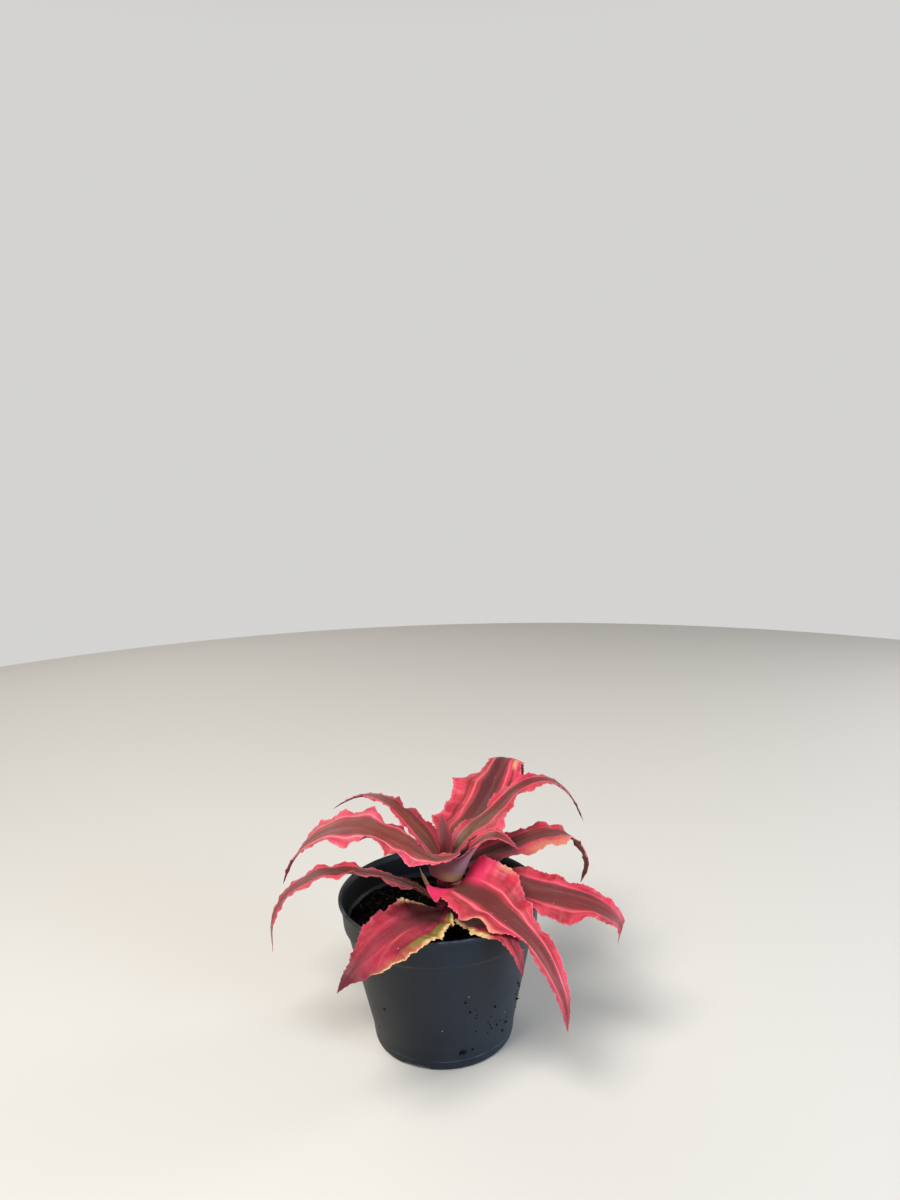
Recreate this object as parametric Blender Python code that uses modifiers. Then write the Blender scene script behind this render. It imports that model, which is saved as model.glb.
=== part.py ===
"""Earth star plant (Cryptanthus) in a round plastic nursery pot.

A rosette of twelve long, wavy leaves and one dry leaf base grows from a short stem in peat soil.
Lengths in the tables are millimetres and are turned into metres when a mesh is made.
+Z is up, the pot stands on z = 0 with its axis on the Z axis, and the front of the plant faces -Y.
"""

import math

import bmesh
import bpy
import numpy as np

MM = 0.001
GAP = 0.35                # air between neighbouring pieces

# Pot: a 9 cm nursery pot, tapered, with a plain collar under the lip and slots in the base's edge.
POT_HEIGHT = 66.7
LIP_R = 45.0              # outer radius of the lip
LIP_DEPTH = 1.7
COLLAR_BOTTOM = 53.7      # height of the step under the collar
COLLAR_R = (43.0, 43.8)   # outer radius of the collar, bottom and top
BODY_R = (31.6, 41.8)     # outer radius of the body at the foot and under the collar
FOOT_TOP = 6.0
WALL = 1.1
FLOOR = 1.2               # the base is flat and stands on z = 0
POT_STEPS = 48
SLOTS, SLOT_ANGLE, SLOT_WIDTH, SLOT_HEIGHT = 3, 247.0, 12.0, 1.6   # drain slots through the base's edge

# Soil: fills the pot and is slightly mounded round the stem.
SOIL_EDGE_Z, SOIL_TOP_Z = 55.5, 57.0
SOIL_STEPS = 32

# Stem: short, a little off the pot axis.
STEM_X, STEM_Y = 2.5, 0.0
STEM_R = (2.6, 1.4)
STEM_TOP = 83.0

# Leaves
LEAF_THICKNESS = 1.0
LEAF_STATIONS, LEAF_STRIPS = 20, 6
CRIMP = 2.2               # how closely the waves keep to the margin

# Each leaf grows out of the stem towards an azimuth (degrees, counter-clockwise from +X).
# A station is: reach from the stem, height, sideways drift, half width, roll (degrees, left side up),
# and how far each half curls up (degrees).
# left / right: margin waves, as (distance along the leaf, rise of the margin).
# wide_left / wide_right: extra width, as (distance along the leaf, added width).
# flat_right: share of the curl that the right half has, as (distance along the leaf, share).
LEAVES = [
    {
        "name": "leaf_back_tall",
        "azimuth": 66,
        "stations": [
            (4, 79, 0, 3.5, 0, 35),
            (16, 86.5, 0, 9, 0, 30),
            (30, 89, -1, 13, 0, 15),
            (46, 93, -1.3, 14, 0, 5),
            (62, 98, -0.6, 14, 0, 0),
            (76, 102.8, -0.5, 10.5, 0, 0),
            (86, 97, -2.5, 5, 0, 0),
            (91, 87, -5, 0, 0, 0),
        ],
        "left": [(10, 0), (20, -2), (30, 2), (40, -2), (52, 2.5), (62, -2), (70, -0.6), (80, -2.2)],
        "right": [(14, -2), (24, 2), (34, -2), (45, 2), (56, -2), (67, -0.4), (78, -2.2)],
        "wide_left": [(9, 0), (18, 5), (27, 1.5), (38, 2.5), (48, 3.5), (57, 6), (62, 1), (66, -4), (71, -5.3), (76, -2.5), (84, -1)],
        "wide_right": [(20, 1), (40, 0), (60, -0.5), (72, -2), (84, 0)],
    },
    {
        "name": "leaf_back_arching",
        "azimuth": 38,
        "stations": [
            (4, 82, 0, 3.3, 0, 30),
            (14, 90, -0.5, 8, 5, 25),
            (30, 97, -1.2, 9, 2, 10),
            (47, 103, 0.5, 7, 2, 5),
            (63, 102, 0, 4.8, 24, 5),
            (78, 91, 0, 2.7, 30, 0),
            (88, 74, 0, 0, 0, 0),
        ],
        "left": [(14, 1), (24, -2), (34, 2), (44, -1.5), (54, 1.5), (64, -1)],
        "right": [(12, 0), (20, -2), (27, 1.5), (34, -1), (42, 1.5), (49, -1.5), (60, 1)],
        "wide_left": [(10, -1), (17, -3.5), (22, -5.5), (27, -5), (32, -3.5), (38, -2.5), (43, 0), (48, -1.5), (60, -0.3)],
        "wide_right": [(6, -1.2), (10, -3.6), (14, -2.8), (18, 2), (22, 7), (26, 3.5), (29, -0.5), (36, -3), (40, -3), (44, -0.5), (49, -1.5), (56, -0.5)],
    },
    {
        "name": "leaf_right_back",
        "azimuth": 25,
        "stations": [
            (12.5, 76.8, 0, 5.6, 0, 20),
            (22, 79, 0, 10, 0, 20),
            (32, 80.3, 0, 10.8, 0, 15),
            (44, 82.3, 0, 10.8, 0, 10),
            (56, 81.8, 0, 9.5, 0, 5),
            (66, 77.5, 0, 7.5, 0, 5),
            (72, 70.5, 0, 5.3, 0, 0),
            (74.5, 62, 0, 3, 0, 0),
            (71, 53, 0, 0, 0, 0),
        ],
        "left": [(8, 0), (18, 0), (29, 0), (36, -0.5), (42.5, 2.5), (46.5, 0.5), (50.5, 2.5), (56, -1), (64, -1), (71, 0)],
        "right": [(8, -1), (16, 0), (24, -1.5), (33, -0.3), (40, -1.5), (48, 1), (56, 0), (62, -1)],
        "wide_left": [(20, -0.5), (30, -2.5), (36, -1.5), (43, -1.5), (50, -2), (56, -2.5), (64, -1.5), (74, -1)],
        "wide_right": [(14, 2), (20, 5), (26, 5.5), (31, 4), (36, 3), (42, 4.5), (47, 1.5), (52, -0.5), (58, -1.5), (64, -2), (72, -1)],
    },
    {
        "name": "leaf_right",
        "azimuth": -15,
        "stations": [
            (5, 62, 0, 4, 0, 20),
            (24, 72.7, 0, 10, 10, 15),
            (40, 70.4, 0, 12, 20, 10),
            (56, 68.3, 0, 12, 20, 5),
            (68, 65, 0.3, 9, 15, 5),
            (77, 57.5, 0.5, 4, 10, 0),
            (76, 49.5, 0.3, 0, 0, 0),
        ],
        "left": [(14, 2), (24, -2), (33, 1.5), (43, -1.5), (47, 0.5), (53, -1.5), (60, 0.5), (66, -1), (73, 0.8)],
        "right": [(10, -2), (19, 2), (29, -3), (38, 1.5), (46, -1.5), (55, -2), (63.5, 1.5), (70, -0.7)],
        "wide_left": [(30, -1), (44, -1.2), (51, -3), (60, -2), (68, 0)],
        "wide_right": [(38, -1), (48, -0.5), (56, 1.5), (60, 0.5), (66, -2), (74, -2), (82, -0.5)],
    },
    {
        "name": "leaf_front_right",
        "azimuth": -52,
        "stations": [
            (3, 69.5, -2, 11.5, 0, 50),
            (6.5, 70.5, -2, 12.3, 0, 53),
            (12.5, 73.5, -2, 13, 0, 62),
            (20, 74.5, -2, 15, 0, 60),
            (30, 74.8, -2, 15, 0, 42),
            (40, 73.3, -2.3, 13.5, 0, 22),
            (50, 69.3, -0.7, 11, 0, 12),
            (60, 62.3, 1.3, 7.3, 0, 8),
            (67, 54.3, 2, 5.2, 0, 5),
            (71.5, 45, 2.8, 3, 0, 0),
            (73, 33, 3.2, 0, 0, 0),
        ],
        "left": [(8.1, 0), (16.1, 1), (25.1, -1), (33.1, 2), (40.1, -1.5), (46.1, 1.5), (54.1, -1.5), (63.1, 1), (74.1, 0.7)],
        "right": [(4.1, 0), (9.1, -2.2), (13.1, 0), (20.1, -1), (26.1, -1), (32.6, -3), (37.6, 1), (42.6, -1.5), (49.1, 0.5), (55.1, 1), (60.1, 0), (68.1, 0.5)],
        "wide_left": [(0, -9), (2.1, -8.3), (6.1, -4.6), (10.1, 1), (14.1, 4.2), (20.1, 2.5), (30.1, 3), (36.1, 0.5), (40.6, 0), (44.1, 0.5), (49.1, -2.5), (54.1, -1), (60.1, 0)],
        "wide_right": [(0, 0.3), (3, 0.8), (7.1, 0.8), (12.1, -1.8), (17.1, -3), (22.1, -1.5), (27.1, -0.3), (33.1, 0.5), (38.1, -2.5), (43.1, -1.5), (48.1, -3.5), (52.1, -6), (56.1, -5.5), (60.1, -3.5), (64.1, -1.5), (72.1, -1.2), (82.1, -0.5)],
        "flat_right": [(0, 1), (5.1, 0.9), (10.1, -0.1), (20.1, -0.1), (34.1, 0), (47.1, 0.6)],
    },
    {
        "name": "leaf_front_low",
        "azimuth": -58.5,
        "stations": [
            (7, 58.5, 0, 2.5, 0, 30),
            (18, 61.5, 0, 7, 5, 20),
            (32, 66.7, -0.8, 8, 8, 10),
            (43, 69.3, -1, 6.5, 6, 5),
            (51, 67, -0.8, 4, 0, 0),
            (56.5, 61, -0.3, 2.2, 0, 0),
            (58.5, 53.8, 0.2, 0, 0, 0),
        ],
        "left": [(12, 1), (22, -1), (32, 1), (43, -1)],
        "right": [(10, -1), (17, 1), (25, -0.5), (29, 0.3), (36, -0.8), (44, 0)],
        "wide_right": [(12, 0), (22, 1), (28, 1), (36, 4.5), (41, 3), (46, 0), (52, -0.7)],
    },
    {
        "name": "leaf_front_left",
        "azimuth": 238,
        "stations": [
            (5, 58.5, 0, 4, 0, 30),
            (16, 62.5, 1, 11, -6, 20),
            (30, 67, 2.5, 12.5, -9, 8),
            (46, 70.2, 3.5, 12, -9, 3),
            (60, 69.2, 3, 8, -6, 0),
            (70, 65.2, 1.5, 4, 0, 0),
            (77, 58.8, -0.3, 0, 0, 0),
        ],
        "left": [(10, 1), (17, -1), (24, 1.5), (32, -0.5), (41, 2.2), (52, -1), (63, 1)],
        "right": [(10, 1), (20, 3), (30, -1), (38, 2), (48, -1), (58, 1)],
        "wide_left": [(10, 1), (20, 3), (33, 4.5), (42, 6), (49, 4.3), (56, 5), (63, 6.5), (69, 4), (74, 1)],
        "wide_right": [(20, -1), (30, -0.5), (40, -2), (48, 0), (58, -2), (66, -2)],
    },
    {
        "name": "leaf_left_low",
        "azimuth": 190,
        "stations": [
            (4, 62, 0, 3.5, 0, 30),
            (20, 73, 0, 6.5, 0, 20),
            (38, 79.3, 0, 7, 5, 10),
            (55, 80.4, 0, 8, 8, 5),
            (68, 74, 0, 6.5, 5, 0),
            (76, 62, 0, 3.5, 0, 0),
            (77, 47, 0, 0, 0, 0),
        ],
        "left": [(12, 1), (20, -1.5), (26, -1), (31.5, 1.5), (36.5, 0), (42, 2), (49.5, -1.5), (54, 0.5), (62, -1), (70, 0.5), (80, -0.5)],
        "right": [(14, 0.5), (22, -0.5), (30, 0.3), (35, -1), (42.3, 1.8), (50, -0.5), (56.5, 1.5), (62, -0.5), (72, 0.5)],
        "wide_right": [(0, -1), (8, -1.5), (20, -3), (28, -2.5), (34, -0.8), (45, 0)],
    },
    {
        "name": "leaf_left_high",
        "azimuth": 162,
        "stations": [
            (-11, 90, 10.6, 0.7, -20, 0),
            (-7, 88.2, 12, 2.2, -24, 5),
            (-1.5, 86.7, 12, 4, -26, 10),
            (5, 87.8, 10.5, 6.5, -25, 20),
            (13, 89.5, 7, 9.5, -20, 25),
            (24, 91, 3.3, 11, -15, 20),
            (40, 93, 1, 12, -18, 15),
            (54, 90, 2, 11, -15, 5),
            (69, 79.5, 0.7, 7, -10, 0),
            (77, 69.5, -0.5, 4, 0, 0),
            (81.5, 59, -0.5, 0, 0, 0),
        ],
        "left": [(11.5, 0), (18.5, -2), (24.5, 1.5), (31.5, -2.5), (42.5, 3.5), (49.5, 0), (57.5, -2.5), (67.5, 2), (75.5, 0), (87.5, 0)],
        "right": [(15, 0), (20, 1.3), (24, 1.3), (28, -0.2), (33.5, -0.7), (38.5, -1), (45.5, -1), (50.5, 1.5), (57.5, -2), (64.5, 0.8), (71.5, -0.8), (79.5, 1)],
        "wide_left": [(0, 0), (4.5, -0.6), (9, -1.6), (13, -1), (17.5, 1), (27.5, 2.5), (35.5, -2), (43.5, 0), (51.5, 0), (58.5, 2), (65.5, 0.5), (73.5, -1.5), (83.5, -2), (97.5, -1.5)],
        "wide_right": [(7.5, 0), (16.5, -5.5), (25.5, -7), (31.5, -6), (37.5, -3), (44.5, -5.5), (48.5, -3), (51.5, -0.5), (57.5, -2), (63.5, -0.3), (71.5, 0.5), (79.5, 3), (87.5, 2), (97.5, -0.5)],
    },
    {
        "name": "leaf_left_arching",
        "azimuth": 134,
        "stations": [
            (4, 81.5, 0.3, 3.2, 0, 30),
            (12, 90.2, 2.2, 6.3, 0, 25),
            (24, 96.3, 2, 6, 0, 10),
            (40, 99.6, 1.7, 5, 5, 5),
            (58, 95.6, 0.5, 3.3, -6, 0),
            (74, 87.3, 0, 1.7, -6, 0),
            (81, 82.5, 0, 0, 0, 0),
        ],
        "left": [(14, 1), (24, -1), (34, 1), (45, -1), (55, 1)],
        "right": [(10, -1), (18, -1), (23, 1.3), (29.5, -1.5), (35, 1.3), (42, -0.5)],
        "wide_left": [(3, 0), (7, 0.4), (12, 1.7), (18, 0), (24, -2), (32, -1.5), (38, -0.8), (46, -1.2)],
        "wide_right": [(8, 1.5), (14, 1), (20, -0.5), (26, 0.5), (30, -1.5), (36, 0)],
    },
    {
        "name": "leaf_heart",
        "azimuth": 90,
        "stations": [
            (0, 83.5, -1, 3, 0, 50),
            (0, 90, -0.8, 3.3, 0, 45),
            (1, 96, 0, 2.5, 0, 30),
            (3, 101.5, 0.5, 0, 0, 0),
        ],
    },
    {
        "name": "leaf_centre_curl",
        "azimuth": -22,
        "stations": [
            (7.5, 73.6, 0, 12.5, 0, 70),
            (9.3, 77.6, 0, 14.5, 0, 78),
            (11, 82, 0, 14, 0, 74),
            (14, 87.3, 0, 10.5, 0, 60),
            (18.5, 92.5, 0, 6.6, 0, 42),
            (24, 95.3, 0, 4.2, 3, 20),
            (30, 94, 0, 2.2, 5, 5),
            (35, 90.6, 0, 0, 0, 0),
        ],
        "left": [(10.8, 0), (18.8, -1), (28.8, 0.8), (38.8, -0.5)],
        "right": [(10.8, 0), (22.8, -1), (32.8, 0.5)],
        "wide_left": [(0, -7), (6.8, -5.5), (10.8, -3.8), (14.8, -2.5), (18.8, -1), (26.8, 0.4), (32.8, 0)],
        "wide_right": [(0, 4.5), (4.8, 5.5), (7.8, 2.5), (10.8, -2.2), (14.8, -4.6), (19.8, -3), (25.8, -1), (30.8, 0)],
    },
    {
        "name": "dry_leaf_base",
        "azimuth": 200,
        "stations": [
            (7.5, 67.5, 0, 2, 0, 30),
            (9, 71.5, 0, 2.6, 0, 40),
            (10.3, 75.5, 0, 2, 0, 30),
            (11.5, 79.5, 0, 0, 0, 0),
        ],
    },
]


def clear_scene():
    for item in list(bpy.data.objects):
        bpy.data.objects.remove(item, do_unlink=True)


def make_collection(name):
    group = bpy.data.collections.new(name)
    bpy.context.scene.collection.children.link(group)
    return group


def make_material(name, colour, roughness, metallic=0.0):
    material = bpy.data.materials.new(name)
    material.use_nodes = True
    shader = material.node_tree.nodes["Principled BSDF"]
    shader.inputs["Base Color"].default_value = (*colour, 1.0)
    shader.inputs["Roughness"].default_value = roughness
    shader.inputs["Metallic"].default_value = metallic
    return material


def add_object(name, mesh, group, material):
    piece = bpy.data.objects.new(name, mesh)
    group.objects.link(piece)
    if material is not None:
        mesh.materials.append(material)
    return piece


def lathe(name, profile, steps, group, material, at=(0.0, 0.0)):
    """A solid of revolution; the profile (radius, height) starts on the axis at the top, runs down
    the outer side and ends on the axis."""
    mesh = bpy.data.meshes.new(name)
    points = [(r * MM, 0.0, z * MM) for r, z in profile]
    mesh.from_pydata(points, [(i, i + 1) for i in range(len(points) - 1)], [])
    piece = add_object(name, mesh, group, material)
    piece.location = (at[0] * MM, at[1] * MM, 0.0)
    turn = piece.modifiers.new("Turn", "SCREW")
    turn.axis = "Z"
    turn.angle = math.tau
    turn.steps = turn.render_steps = steps
    turn.use_merge_vertices = True
    turn.merge_threshold = 0.00002
    return piece


def smooth_curve(at, values, x):
    """A smooth curve through the stations."""
    at = np.asarray(at, float)
    values = np.asarray(values, float).reshape(len(at), -1)
    slope = np.zeros_like(values)
    slope[0] = (values[1] - values[0]) / (at[1] - at[0])
    slope[-1] = (values[-1] - values[-2]) / (at[-1] - at[-2])
    for i in range(1, len(at) - 1):
        before, after = at[i] - at[i - 1], at[i + 1] - at[i]
        slope[i] = ((values[i] - values[i - 1]) / before * after
                    + (values[i + 1] - values[i]) / after * before) / (before + after)
    i = np.clip(np.searchsorted(at, x, side="right") - 1, 0, len(at) - 2)
    h = (at[i + 1] - at[i])[:, None]
    t = ((x - at[i]) / (at[i + 1] - at[i]))[:, None]
    return ((2 * t**3 - 3 * t**2 + 1) * values[i] + (t**3 - 2 * t**2 + t) * h * slope[i]
            + (3 * t**2 - 2 * t**3) * values[i + 1] + (t**3 - t**2) * h * slope[i + 1])


def eased(pairs, x, length, end=0.0):
    """Values that ease from one pair to the next along the leaf."""
    if not pairs:
        return np.full_like(x, end)
    at = [p for p, _ in pairs]
    to = [v for _, v in pairs]
    if at[0] > 0:
        at, to = [0.0] + at, [0.0] + to
    if at[-1] < length:
        at, to = at + [length], to + [end]
    at, to = np.array(at, float), np.array(to, float)
    i = np.clip(np.searchsorted(at, x, side="right") - 1, 0, len(at) - 2)
    t = np.clip((x - at[i]) / (at[i + 1] - at[i]), 0, 1)
    t = t * t * (3 - 2 * t)
    return to[i] + (to[i + 1] - to[i]) * t


def leaf_surface(leaf, stations, strips):
    """Points of the leaf's middle surface, stations + 1 rows of strips + 1 points, in millimetres."""
    table = np.array(leaf["stations"], float)
    angle = math.radians(leaf["azimuth"])
    out = np.array([math.cos(angle), math.sin(angle), 0.0])
    side = np.array([-math.sin(angle), math.cos(angle), 0.0])
    path = (np.array([STEM_X, STEM_Y, 0.0]) + table[:, 0:1] * out + table[:, 2:3] * side
            + table[:, 1:2] * np.array([0.0, 0.0, 1.0]))
    chord = np.concatenate([[0.0], np.cumsum(np.linalg.norm(np.diff(path, axis=0), axis=1))])
    fine = np.linspace(0.0, chord[-1], 400)
    curve = smooth_curve(chord, path, fine)
    arc = np.concatenate([[0.0], np.cumsum(np.linalg.norm(np.diff(curve, axis=0), axis=1))])
    length = arc[-1]
    s = np.linspace(0.0, length, stations + 1)
    x = np.interp(s, arc, fine)
    centre = smooth_curve(chord, path, x)
    along = (smooth_curve(chord, path, np.minimum(x + 0.05, chord[-1]))
             - smooth_curve(chord, path, np.maximum(x - 0.05, 0.0)))
    along /= np.linalg.norm(along, axis=1)[:, None]
    half = np.maximum(smooth_curve(chord, table[:, 3], x)[:, 0], 0.02)
    roll = np.radians(smooth_curve(chord, table[:, 4], x)[:, 0])
    curl = np.radians(smooth_curve(chord, table[:, 5], x)[:, 0])
    curl = np.where(np.abs(curl) < 1e-3, 1e-3, curl)
    level = side - (along @ side)[:, None] * along
    level /= np.linalg.norm(level, axis=1)[:, None]
    across = level * np.cos(roll)[:, None] + np.cross(along, level) * np.sin(roll)[:, None]
    up = np.cross(along, across)
    fade = np.clip(half / 4.0, 0.0, 1.0)
    rise = (eased(leaf.get("right"), s, length) * fade, eased(leaf.get("left"), s, length) * fade)
    wide = (eased(leaf.get("wide_right"), s, length) * fade, eased(leaf.get("wide_left"), s, length) * fade)
    share = eased(leaf["flat_right"], s, length, 1.0) if "flat_right" in leaf else np.ones_like(s)
    grid = np.zeros((stations + 1, strips + 1, 3))
    for j, v in enumerate(np.linspace(-1.0, 1.0, strips + 1)):
        left = int(v > 0)
        bend = curl if left else curl * share
        radius = half / np.where(np.abs(bend) < 1e-3, 1e-3, bend)
        turn = (half + wide[left] * abs(v)) * v / radius
        normal = up * np.cos(turn)[:, None] - across * np.sin(turn)[:, None]
        grid[:, j] = (centre + across * (radius * np.sin(turn))[:, None]
                      + up * (radius * (1 - np.cos(turn)))[:, None]
                      + normal * (rise[left] * abs(v) ** CRIMP)[:, None])
    grid[-1] = centre[-1]
    return grid


def add_leaf(leaf, group, material):
    """One leaf: a lofted surface from the stem to a pointed tip, thickened."""
    grid = leaf_surface(leaf, LEAF_STATIONS, LEAF_STRIPS)
    work = bmesh.new()
    rows = [[work.verts.new(point * MM) for point in row] for row in grid[:-1]]
    tip = work.verts.new(grid[-1, 0] * MM)
    for low, high in zip(rows[:-1], rows[1:]):
        for j in range(LEAF_STRIPS):
            work.faces.new((low[j], high[j], high[j + 1], low[j + 1]))
    for j in range(LEAF_STRIPS):
        work.faces.new((rows[-1][j], tip, rows[-1][j + 1]))
    mesh = bpy.data.meshes.new(leaf["name"])
    work.to_mesh(mesh)
    work.free()
    piece = add_object(leaf["name"], mesh, group, material)
    skin = piece.modifiers.new("Thickness", "SOLIDIFY")
    skin.thickness = LEAF_THICKNESS * MM
    skin.offset = 0.0
    return piece


def add_pot(group, cutters, material):
    taper = (BODY_R[1] - BODY_R[0]) / (COLLAR_BOTTOM - FOOT_TOP)
    inner_top = BODY_R[1] - WALL
    profile = [
        (0.0, FLOOR),
        (29.4, FLOOR),
        (30.0, FLOOR + 0.9),
        (BODY_R[0] - WALL + taper * 1.5, FOOT_TOP + 1.5),
        (inner_top, COLLAR_BOTTOM),
        (COLLAR_R[0] - WALL, COLLAR_BOTTOM + 1.0),
        (COLLAR_R[1] - WALL, POT_HEIGHT - 2.0),
        (LIP_R - 1.7, POT_HEIGHT - 0.3),
        (LIP_R - 1.3, POT_HEIGHT),
        (LIP_R - 0.4, POT_HEIGHT),
        (LIP_R, POT_HEIGHT - 0.5),
        (LIP_R, POT_HEIGHT - LIP_DEPTH),
        (COLLAR_R[1], POT_HEIGHT - LIP_DEPTH - 0.3),
        (COLLAR_R[0], COLLAR_BOTTOM + 0.3),
        (BODY_R[1], COLLAR_BOTTOM),
        (BODY_R[0], FOOT_TOP),
        (31.3, 1.2),
        (30.7, 0.0),
        (0.0, 0.0),
    ]
    pot = lathe("pot", profile, POT_STEPS, group, material)
    for k in range(SLOTS):
        angle = math.radians(SLOT_ANGLE + 360.0 * k / SLOTS)
        work = bmesh.new()
        bmesh.ops.create_cube(work, size=1.0)
        for vert in work.verts:
            wide = SLOT_WIDTH if vert.co.z < 0 else SLOT_WIDTH - 4.0
            vert.co = (vert.co.x * 8.0 * MM, vert.co.y * wide * MM, vert.co.z * 2 * SLOT_HEIGHT * MM)
        mesh = bpy.data.meshes.new("slot_cutter_%d" % k)
        work.to_mesh(mesh)
        work.free()
        cutter = add_object("slot_cutter_%d" % k, mesh, cutters, None)
        cutter.location = (31.0 * math.cos(angle) * MM, 31.0 * math.sin(angle) * MM, 0.0)
        cutter.rotation_euler = (0.0, 0.0, angle)
        cutter.hide_render = True
        cutter.display_type = "WIRE"
        cut = pot.modifiers.new("Slot %d" % k, "BOOLEAN")
        cut.operation = "DIFFERENCE"
        cut.solver = "EXACT"
        cut.object = cutter
    return pot


def add_soil(group, material):
    taper = (BODY_R[1] - BODY_R[0]) / (COLLAR_BOTTOM - FOOT_TOP)
    inner = BODY_R[0] - WALL
    return lathe("soil", [
        (0.0, SOIL_TOP_Z),
        (6.0, SOIL_TOP_Z),
        (20.0, SOIL_TOP_Z - 0.9),
        (34.0, SOIL_EDGE_Z - 0.4),
        (inner + taper * (COLLAR_BOTTOM - FOOT_TOP) - 0.5, SOIL_EDGE_Z),
        (inner + taper * (COLLAR_BOTTOM - 2.0 - FOOT_TOP) - 0.5, COLLAR_BOTTOM - 2.0),
        (inner + taper * 2.0 - 0.5, FOOT_TOP + 2.0),
        (inner - 1.1, FLOOR + 1.2),
        (28.6, FLOOR + GAP),
        (0.0, FLOOR + GAP),
    ], SOIL_STEPS, group, material)


def add_stem(group, material):
    base = SOIL_TOP_Z + GAP
    return lathe("stem", [
        (0.0, STEM_TOP),
        (STEM_R[1], STEM_TOP - 0.5),
        (2.0, STEM_TOP - 5.0),
        (2.2, 66.0),
        (STEM_R[0], base),
        (0.0, base),
    ], 12, group, material, (STEM_X, STEM_Y))


def main():
    clear_scene()
    plant = make_collection("earth_star_plant")
    cutters = make_collection("cutters")
    cutters.hide_render = True
    plastic = make_material("pot_plastic", (0.035, 0.045, 0.055), 0.45)
    peat = make_material("peat_soil", (0.016, 0.011, 0.008), 0.95)
    woody = make_material("stem_skin", (0.10, 0.03, 0.04), 0.7)
    dry = make_material("dry_leaf", (0.42, 0.30, 0.12), 0.8)
    add_pot(plant, cutters, plastic)
    add_soil(plant, peat)
    add_stem(plant, woody)
    for leaf in LEAVES:
        if leaf["name"].startswith("dry"):
            material = dry
        else:
            material = make_material(leaf["name"] + "_skin", leaf.get("colour", (0.45, 0.07, 0.09)), 0.5)
        add_leaf(leaf, plant, material)


main()
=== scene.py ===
"""Looks for the earth star plant: fine leaves, pot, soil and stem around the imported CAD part, with floor, light and camera.

Tables are in millimetres and turned into metres when a mesh is made. The leaf table is the one in part.py, and the
same construction makes the fine leaves, so that each lies in its CAD solid's place.
"""

import math

import bmesh
import bpy
import numpy as np
from mathutils import Matrix, Vector, noise


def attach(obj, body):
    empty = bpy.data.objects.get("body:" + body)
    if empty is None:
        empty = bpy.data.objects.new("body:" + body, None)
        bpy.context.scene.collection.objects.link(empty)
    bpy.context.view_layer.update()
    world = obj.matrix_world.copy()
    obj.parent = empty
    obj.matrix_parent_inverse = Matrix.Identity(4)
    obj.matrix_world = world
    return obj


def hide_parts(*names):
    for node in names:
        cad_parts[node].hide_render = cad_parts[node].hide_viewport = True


MM = 0.001
STEM_X, STEM_Y = 2.5, 0.0
CRIMP = 2.2
POT_HEIGHT = 66.7
SOIL_TOP_Z = 57.0

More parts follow.
